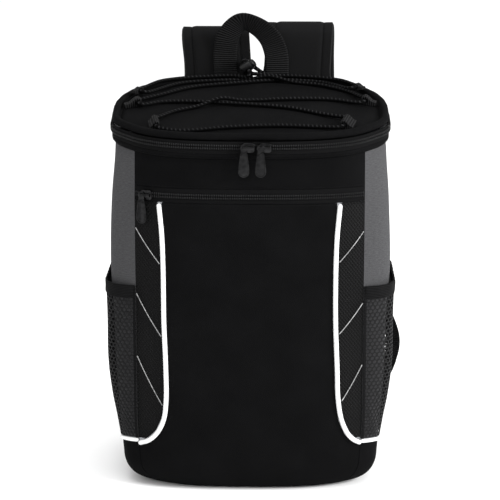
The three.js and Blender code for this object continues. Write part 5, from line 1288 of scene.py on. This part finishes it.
tone = sums(tree, "ADD", sums(tree, "MULTIPLY_ADD", braid, 0.1, 0.1), sums(tree, "MULTIPLY", tracer_and_highlight, 0.62))
stops = toned(tree, shader, tone, (0.0008, 0.0008, 0.00085), (0.026, 0.026, 0.027))
middle = stops.elements.new(0.3)
middle.color = (0.0032, 0.0032, 0.0034, 1)
LOOP_BEND = 4


def on_lid(x, y, over=0.0):
    return np.array([x, y, float(lid_top(x, y)) + GAP + CORD_RADIUS + over])


def on_roll(x, inset):
    s = math.copysign(float(station_at(abs(x), RIM_HEIGHT + 20, 3, 5)), x)
    p = rim_at(s, RIM_TAPE_RISE, -ROLL_RADIUS - inset)
    reach = ROLL_RADIUS + CORD_RADIUS + 2 * GAP
    return p + np.array([0, 0, ROLL_RISE - RIM_TAPE_RISE + math.sqrt(reach * reach - inset * inset)])


def above(x, y, height):
    return np.array([x, y, rim_plane(y) + height])


def in_lock(axis, along, across):
    return LOCK_CENTRE + LOCK_AXIS * axis + LOCK_THROUGH * along + LOCK_ACROSS * across


def through_loop(name, way):
    *_, width, raised = LOOPS[name]
    normal, inward, across, eye = loop_frame(LOOPS[name])
    end, low = width / 2 + 0.8, 0 if raised else 1.2
    steps = (
        (-end - LOOP_BEND, LOOP_BEND, low), (-end - 0.7 * LOOP_BEND, 0.3 * LOOP_BEND, low / 3), (-end, 0, 0),
        (end, 0, 0), (end + 0.7 * LOOP_BEND, 0.3 * LOOP_BEND, low / 3), (end + LOOP_BEND, LOOP_BEND, low),
    )
    return [eye + across * way * reach + inward * forward - normal * drop for reach, forward, drop in steps]


TAIL = ((14.5, 90, 16.1), (7.5, 91.3, 19.7), (0, 91.5, 25.2), (-5, 90.8, 29.2), (-7.6, 89.2, 31.7))
tails = [[above(*row) + LOCK_ACROSS * reach for row in TAIL] for reach in (CORD_SPACING, -CORD_SPACING)]
route = [
    *tails[0], in_lock(0, 6.5, CORD_SPACING), in_lock(0, -6.5, CORD_SPACING),
    above(-4.2, 76, 18.6), above(-16, 81.5, 17.4),
    on_roll(-38, 4), on_roll(-66, 4), on_roll(-86, 4), on_roll(-100, 4), *through_loop("rear_left", 1),
    on_lid(-74, 67), on_lid(-40, 76), on_lid(-6, 81), on_lid(18, 77, 4.6),
    on_lid(42, 71), on_lid(72, 60), on_lid(98, 42),
    *through_loop("middle_right", -1),
    on_lid(80, 11), on_lid(39, 7), on_lid(-8, 0.5), on_lid(-30, -6, 4.6), on_lid(-52, -14), on_lid(-75, -25),
    *through_loop("front_left", 1),
    on_lid(-67, -73.5), on_lid(-20, -66.5), on_lid(30, -62.5), on_lid(68, -64),
    *through_loop("front_right", 1),
    on_lid(74, -33), on_lid(38, -18.5), on_lid(0, -11), on_lid(-30, -6), on_lid(-66, 1), on_lid(-92, 3),
    *through_loop("middle_left", -1),
    on_lid(-93, 26), on_lid(-62, 48), on_lid(-22, 62), on_lid(18, 77), on_lid(42, 79.5), on_lid(72, 73),
    *through_loop("rear_right", 1),
    on_roll(98, 3.2), on_roll(84, 3.2), on_roll(66, 3.2), on_roll(38, 3.2),
    above(17, 84.5, 17), above(5, 81.5, 19.4),
    in_lock(0, -7, -CORD_SPACING), in_lock(0, 6.5, -CORD_SPACING), *tails[1][::-1],
]
path = through(route, 1.0)
for _ in range(6):
    path[1:-1] = 0.5 * path[1:-1] + 0.25 * (path[:-2] + path[2:])
mesh = joined_mesh("bungee_cord", round_cord(path, CORD_RADIUS, 12), merge=1e-6)
add_piece("elastic_cord", mesh, cord_braid, "bag", ["bungee_cord"])

# Zip sliders and pulls
# Three dark plated sliders stand astride the teeth. A long drop-shaped pull with a raised rim
# hangs from each one's bridge and swings on it.
SLIDER_PLATE, EYE_X, PULLER_LENGTH, PULLER_WIDTH, PULLER_THICKNESS = 1.8, -3.8, 29, 10.8, 1.6
PULLER_HOLE = 1.8
PULLER_BACK = GAP + COIL_THICKNESS + GAP + SLIDER_PLATE + GAP
gunmetal, tree, shader = finish_material("gunmetal plating", (0.007, 0.007, 0.0075), 0.15, Metallic=1.0)
place = object_place(tree)
speckle(tree, shader, place, (0.009, 0.009, 0.0093), (0.024, 0.024, 0.0247), 220)
pits = shader_node(tree, "ShaderNodeTexNoise", {"Vector": place, "Scale": 1200.0, "Detail": 2.0})
relief(tree, shader, pits.outputs["Fac"], 0.00005)


def eased_copy(node, width):
    """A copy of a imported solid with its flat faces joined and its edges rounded."""
    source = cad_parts[node]
    mesh = source.data.copy()
    mesh.transform(source.matrix_world)
    bm = bmesh.new()
    bm.from_mesh(mesh)
    bmesh.ops.remove_doubles(bm, verts=bm.verts, dist=1e-6)
    bmesh.ops.dissolve_limit(bm, angle_limit=math.radians(3), verts=bm.verts, edges=bm.edges)
    bm.to_mesh(mesh)
    bm.free()
    holder = placed_object(node + "_eased", mesh)
    ease = holder.modifiers.new("edges", "BEVEL")
    ease.width, ease.segments, ease.limit_method, ease.angle_limit = width * MM, 2, "ANGLE", math.radians(25)
    return smoothed(evaluated_mesh(holder), 35)


def drop_outline(inset):
    """The pull's outline in its own plane: a round eye, a neck and a long blade."""
    blade, eye, neck = PULLER_WIDTH / 2 - inset, 3.6 - inset, 3.1 - inset
    tip = -PULLER_LENGTH + PULLER_WIDTH / 2
    lobe = np.radians(np.linspace(-40, 220, 27))
    foot = np.radians(np.linspace(180, 360, 29))
    left = np.array([
        [-neck, -4.2], [-neck - 0.8, -7.5], [-0.82 * blade, -11.5], [-0.93 * blade, -16],
        [-blade, tip + 1.5],
    ])
    right = left[::-1] * (-1, 1)
    return np.concatenate([
        np.stack([eye * np.cos(lobe), eye * np.sin(lobe)], axis=-1), left,
        np.stack([blade * np.cos(foot), tip + blade * np.sin(foot)], axis=-1), right,
    ])


ZIP_PLACES = {
    "left": (-1.4, RIM_HEIGHT, True),
    "right": (14.9, RIM_HEIGHT, True),
    "pocket": (-100.5, TAPE_MIDDLE, False),
}
for name, (x, height, on_rim) in ZIP_PLACES.items():
    s = float(front_station(x, height))
    point = rim_at(s, 0.0, 0.0) if on_rim else skin(s, height)
    along = skin(s + 0.01, point[2]) - skin(s - 0.01, point[2])
    turn = math.atan2(along[1], along[0])
    stand = Matrix.Translation(Vector(point * MM)) @ Matrix.Rotation(turn, 4, "Z")
    slider = eased_copy("slider_" + name, 0.3)
    add_piece("zip_slider_" + name, slider, gunmetal, "bag", ["slider_" + name])
    hole = np.radians(np.linspace(0, 360, 25)[:-1])
    hole = PULLER_HOLE * np.stack([np.cos(hole), np.sin(hole)], axis=-1)
    blade = cut_sheet("pull", (drop_outline(SHEET_EDGE), hole), PULLER_THICKNESS)
    rim_line = drop_outline(1.0)[28:]
    rim_line = np.concatenate([rim_line, rim_line[:1]])
    rim_line = np.stack([rim_line[:, 0], rim_line[:, 1], 0 * rim_line[:, 0] + PULLER_THICKNESS / 2], axis=-1)
    rim = joined_mesh("rim", round_cord(through(rim_line, 0.6), 0.45, 8))
    bm = bmesh.new()
    for part in (blade, rim):
        bm.from_mesh(part)
    weld(bm, blade, 1e-6)
    hung = Matrix.Translation((EYE_X * MM, -(PULLER_BACK + PULLER_THICKNESS / 2) * MM, 0))
    blade.transform(stand @ hung @ Matrix.Rotation(math.pi / 2, 4, "X"))
    smoothed(blade, 35)
    add_piece("zip_pull_" + name, blade, gunmetal, name + "_pull", ["puller_" + name])

# Grab handle
# A length of ribbed webbing, sewn into the back of the rim, that rises, turns over in a twist and
# comes down again.
HANDLE_WIDTH = 24.5
HANDLE_ROUTE = (
    (-28.2, 18, 0, -1, 0, 0), (-28.2, 44, 0, -1, 0, 0), (-28.2, 66, -0.6, -1, 0, 0.1),
    (-24.5, 83, -4, -0.8, -0.3, 0.5),
    (-11, 97, -8, -0.1, -0.58, 0.81), (5, 92, -8, 0.42, -0.5, 0.76), (18.5, 79, -4, 0.8, -0.28, 0.54),
    (25, 61, -0.8, 0.97, 0, 0.2), (25.8, 42, 0, 1, 0, 0), (25.8, 18, 0, 1, 0, 0),
)
back_face = float(skin(5.0, RIM_HEIGHT + 24.0)[1])
handle_y = back_face + GAP + WEBBING / 2


def swept(points, wides, profile, step):
    """Rings of a cross-section along a smooth curve. profile gives, for a width share, its half thickness."""
    points, wides = np.asarray(points, float), np.asarray(wides, float)
    path = through(points, step)
    knots = np.linspace(0, 1, len(points))
    nearest = [int(np.argmin(np.linalg.norm(path - p, axis=1))) for p in points]
    nearest[0], nearest[-1] = 0, len(path) - 1
    at = np.interp(np.arange(len(path)), nearest, knots)
    wide = np.stack([np.interp(at, knots, wides[:, k]) for k in range(3)], axis=-1)
    width = np.interp(at, knots, wides[:, 3])
    tangent = unit(np.gradient(path, axis=0))
    wide = unit(wide - tangent * np.sum(wide * tangent, axis=-1, keepdims=True))
    face = np.cross(tangent, wide)
    across, lift = profile
    sideways = wide[:, None] * (across * width[:, None] / 2)[..., None]
    ring = path[:, None] + sideways + face[:, None] * lift[None, :, None]
    length = lengths_along(path)
    uv = np.stack(np.broadcast_arrays(length[:, None], across[None, :] * width[:, None] / 2), axis=-1)
    parts = [grid_part(ring, uv)]
    for end, flip in ((0, False), (-1, True)):
        half = len(across) // 2
        upper = ring[end][: half + 1]
        lower = ring[end][half:][::-1]
        cap_uv = uv[end][: half + 1]
        parts.append(grid_part(np.stack([upper, lower]), np.stack([cap_uv] * 2), flip))
    return parts, path, wide, face, width


PROFILE_POINTS = 27


def flat_profile(thick, count):
    """Section of webbing: two flat faces with rounded selvedges."""
    t = np.linspace(-1, 1, count)
    half = thick / 2 * np.clip((1 - np.abs(t) ** 24), 0, 1) ** 0.5
    return np.concatenate([t, t[::-1][1:]]), np.concatenate([half, -half[::-1][1:]])


points = [(x, handle_y + out, RIM_HEIGHT + up) for x, up, out, *_ in HANDLE_ROUTE]
wides = [(*row[3:], HANDLE_WIDTH) for row in HANDLE_ROUTE]
profile = flat_profile(WEBBING, PROFILE_POINTS)
parts, path, wide, face, width = swept(points, wides, profile, 1.5)
mesh = joined_mesh("grab_handle", parts, sharp=50)
add_piece("handle_webbing", mesh, webbing_cloth, "bag", ["grab_handle"])

# Shoulder straps
# Foam straps in black nylon with bound edges, sewn on behind the handle, folded over at the
# top, falling down the back and tapering to a plastic ladder lock.
STRAP_WIDTH, STRAP_THICKNESS, STRAP_FOOT, STRAP_SLANT, FOLD_RADIUS = 70, 8, 12, 0.9, 9.5
STRAP_SEAM, STRAP_EDGE, STITCH_STAND = 25, 3.2, 2.75
STRAPS = {"left": (-1, 38, 446, 0.94), "right": (1, 49, 451, 1)}
STRAP_FALL = (
    (2, 21, 0.9, 1, 0), (6, 24, 0.76, 0.97, 0.05), (16, 25, 0.62, 0.93, 0.12),
    (34, 23, 0.5, 0.86, 0.28), (56, 17, 0.42, 0.72, 0.42), (70, 12, 0.37, 0.5, 0.5),
)
strap_cloth, tree, shader = finish_material(
    "strap nylon", (0.005, 0.005, 0.0053), 0.76, Specular_IOR_Level=0.04,
)
place = cloth_place(tree)
split = shader_node(tree, "ShaderNodeSeparateXYZ", {"Vector": place})
thread = woven(tree, shader, 1.0, 0.00022)
from_middle = sums(tree, "ABSOLUTE", split.outputs["Y"])
bound = sums(tree, "GREATER_THAN", from_middle, (STRAP_SEAM + 0.2) * MM)
seam_line = sums(tree, "COMPARE", from_middle, STRAP_SEAM * MM, 0.6 * MM)
ribs = sine_wave(tree, split.outputs["X"], 1.5)
edging = sums(tree, "MULTIPLY", bound, sums(tree, "MULTIPLY_ADD", ribs, 0.1, -0.05))
tone = sums(tree, "ADD", sums(tree, "MULTIPLY", thread, 0.5), edging)
tone = sums(tree, "MULTIPLY", tone, sums(tree, "SUBTRACT", 1.0, sums(tree, "MULTIPLY", seam_line, 0.8)))
toned(tree, shader, tone, (0.002, 0.002, 0.0021), (0.0125, 0.0125, 0.013))
strap_y = handle_y + WEBBING / 2 + GAP + STRAP_THICKNESS / 2


def strap_profile():
    """Section of a strap: full foam inside two seams, and thin bound edges outside them."""
    t = np.linspace(-1, 1, 49)
    mm = np.abs(t) * STRAP_WIDTH / 2
    groove = 0.6 * np.exp(-((mm - STRAP_SEAM) / 0.8) ** 2)
    foam = (STRAP_THICKNESS / 2 - STRAP_EDGE) * smooth((STRAP_SEAM - mm) / 5)
    half = STRAP_EDGE + foam - groove
    half = half * np.clip(1 - np.clip((mm - 33.4) / 1.6, 0, 1) ** 2.5, 0, 1) ** 0.5
    return np.concatenate([t, t[::-1][1:]]), np.concatenate([half, -half[::-1][1:]])


for side, (sign, top_x, top, gather) in STRAPS.items():
    fold_z = top - STRAP_THICKNESS / 2 - FOLD_RADIUS
    rows = [
        ((top_x - 4, strap_y, RIM_HEIGHT + STRAP_FOOT), (1, 0, 0, STRAP_WIDTH + 8)),
        ((top_x - 2, strap_y + STRAP_SLANT, (RIM_HEIGHT + STRAP_FOOT + fold_z) / 2), (1, 0, 0, STRAP_WIDTH)),
    ]
    for degrees in (0, 36, 72, 108, 144, 180):
        a = math.radians(degrees)
        y = strap_y + STRAP_SLANT + FOLD_RADIUS * (1 - math.cos(a))
        rows.append(((top_x + degrees / 90, y, fold_z + FOLD_RADIUS * math.sin(a)), (1, 0, 0, STRAP_WIDTH)))
    for out, back, up, share, lean in STRAP_FALL:
        rows.append((((top_x + out) * gather, strap_y + back, up * top),
                     (1 - lean * 0.4, -sign * lean * 0.5, sign * lean, STRAP_WIDTH * share)))
    points = [(sign * p[0], p[1], p[2]) for p, _ in rows]
    wides = [w for _, w in rows]
    parts, path, wide, face, width = swept(points, wides, strap_profile(), 2.5)
    mesh = joined_mesh("shoulder_strap_" + side, parts, sharp=60)
    strap = add_piece("strap_" + side, mesh, strap_cloth, "bag", ["shoulder_strap_" + side])
    seams = []
    for edge in (-1, 1):
        for layer in (-1, 1):
            reach = edge * STRAP_SEAM / STRAP_WIDTH * width[2:-2, None]
            seams.append(path[2:-2] + wide[2:-2] * reach + face[2:-2] * layer * STITCH_STAND)
    stitches = repeated("strap_stitches_" + side, stitch_tree, seams, STITCH_PITCH, STITCH, stitch_thread)
    add_piece("strap_stitching_" + side, stitches, stitch_thread, "bag", [])

# Ladder locks and lower webbing
# A moulded ladder lock hangs from each strap's end, and webbing runs from it down to the bag's
# bottom corner, bulging outwards on the right.
LOWER_WEBBING_WIDTH = 24
LOCK_HEIGHT = 26
WEBBING_ROUTES = {
    "left": (
        (96, 87.3, 34, 0.73, 0, -0.68), (112, 89, 52, 0.73, -0.1, -0.6), (124, 90, 72, 0.6, -0.7, -0.3),
        (131, 95, 94, 0.45, -0.89, 0), (131, 101, 113, 0.6, -0.8, 0.1),
    ),
    "right": (
        (96, 87.3, 34, 0.73, 0, -0.68), (116, 89, 52, 0.73, -0.1, -0.6), (137, 90, 70, 0.6, -0.7, -0.3),
        (150, 94, 92, 0.45, -0.89, 0), (151, 100, 114, 0.6, -0.8, 0.1),
    ),
}
for side, (sign, top_x, top, gather) in STRAPS.items():
    mesh = eased_copy("ladder_lock_" + side, 0.7)
    add_piece(
        "strap_ladder_lock_" + side, mesh, black_plastic, "bag", ["ladder_lock_" + side],
    )
    out, back, up, share, lean = STRAP_FALL[-1]
    end = np.array([sign * (top_x + out) * gather, strap_y + back, up * top])
    out, back, up, share, _ = STRAP_FALL[-2]
    before = np.array([sign * (top_x + out) * gather, strap_y + back, up * top])
    corners = np.array(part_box("ladder_lock_" + side)) * 1000
    middle = corners.mean(axis=0)
    rise = unit(end - middle)
    across = np.array([(1 - lean * 0.4), -sign * lean * 0.5, sign * lean])
    across = unit(across - rise * across.dot(rise)) * sign
    across[0] *= sign * math.copysign(1, across[0])
    points = [(sign * row[0], row[1], row[2]) for row in WEBBING_ROUTES[side]]
    wides = [(sign * row[3], row[4], row[5], LOWER_WEBBING_WIDTH) for row in WEBBING_ROUTES[side]]
    for below in (7, 0):
        points.append(tuple(middle - rise * (LOCK_HEIGHT / 2 + GAP + 0.5 + below)))
        wides.append((*across, LOWER_WEBBING_WIDTH))
    parts, path, wide, face, width = swept(points, wides, flat_profile(WEBBING, PROFILE_POINTS), 2.0)
    mesh = joined_mesh("strap_webbing_" + side, parts, sharp=50)
    add_piece("lower_webbing_" + side, mesh, webbing_cloth, "bag", ["strap_webbing_" + side])
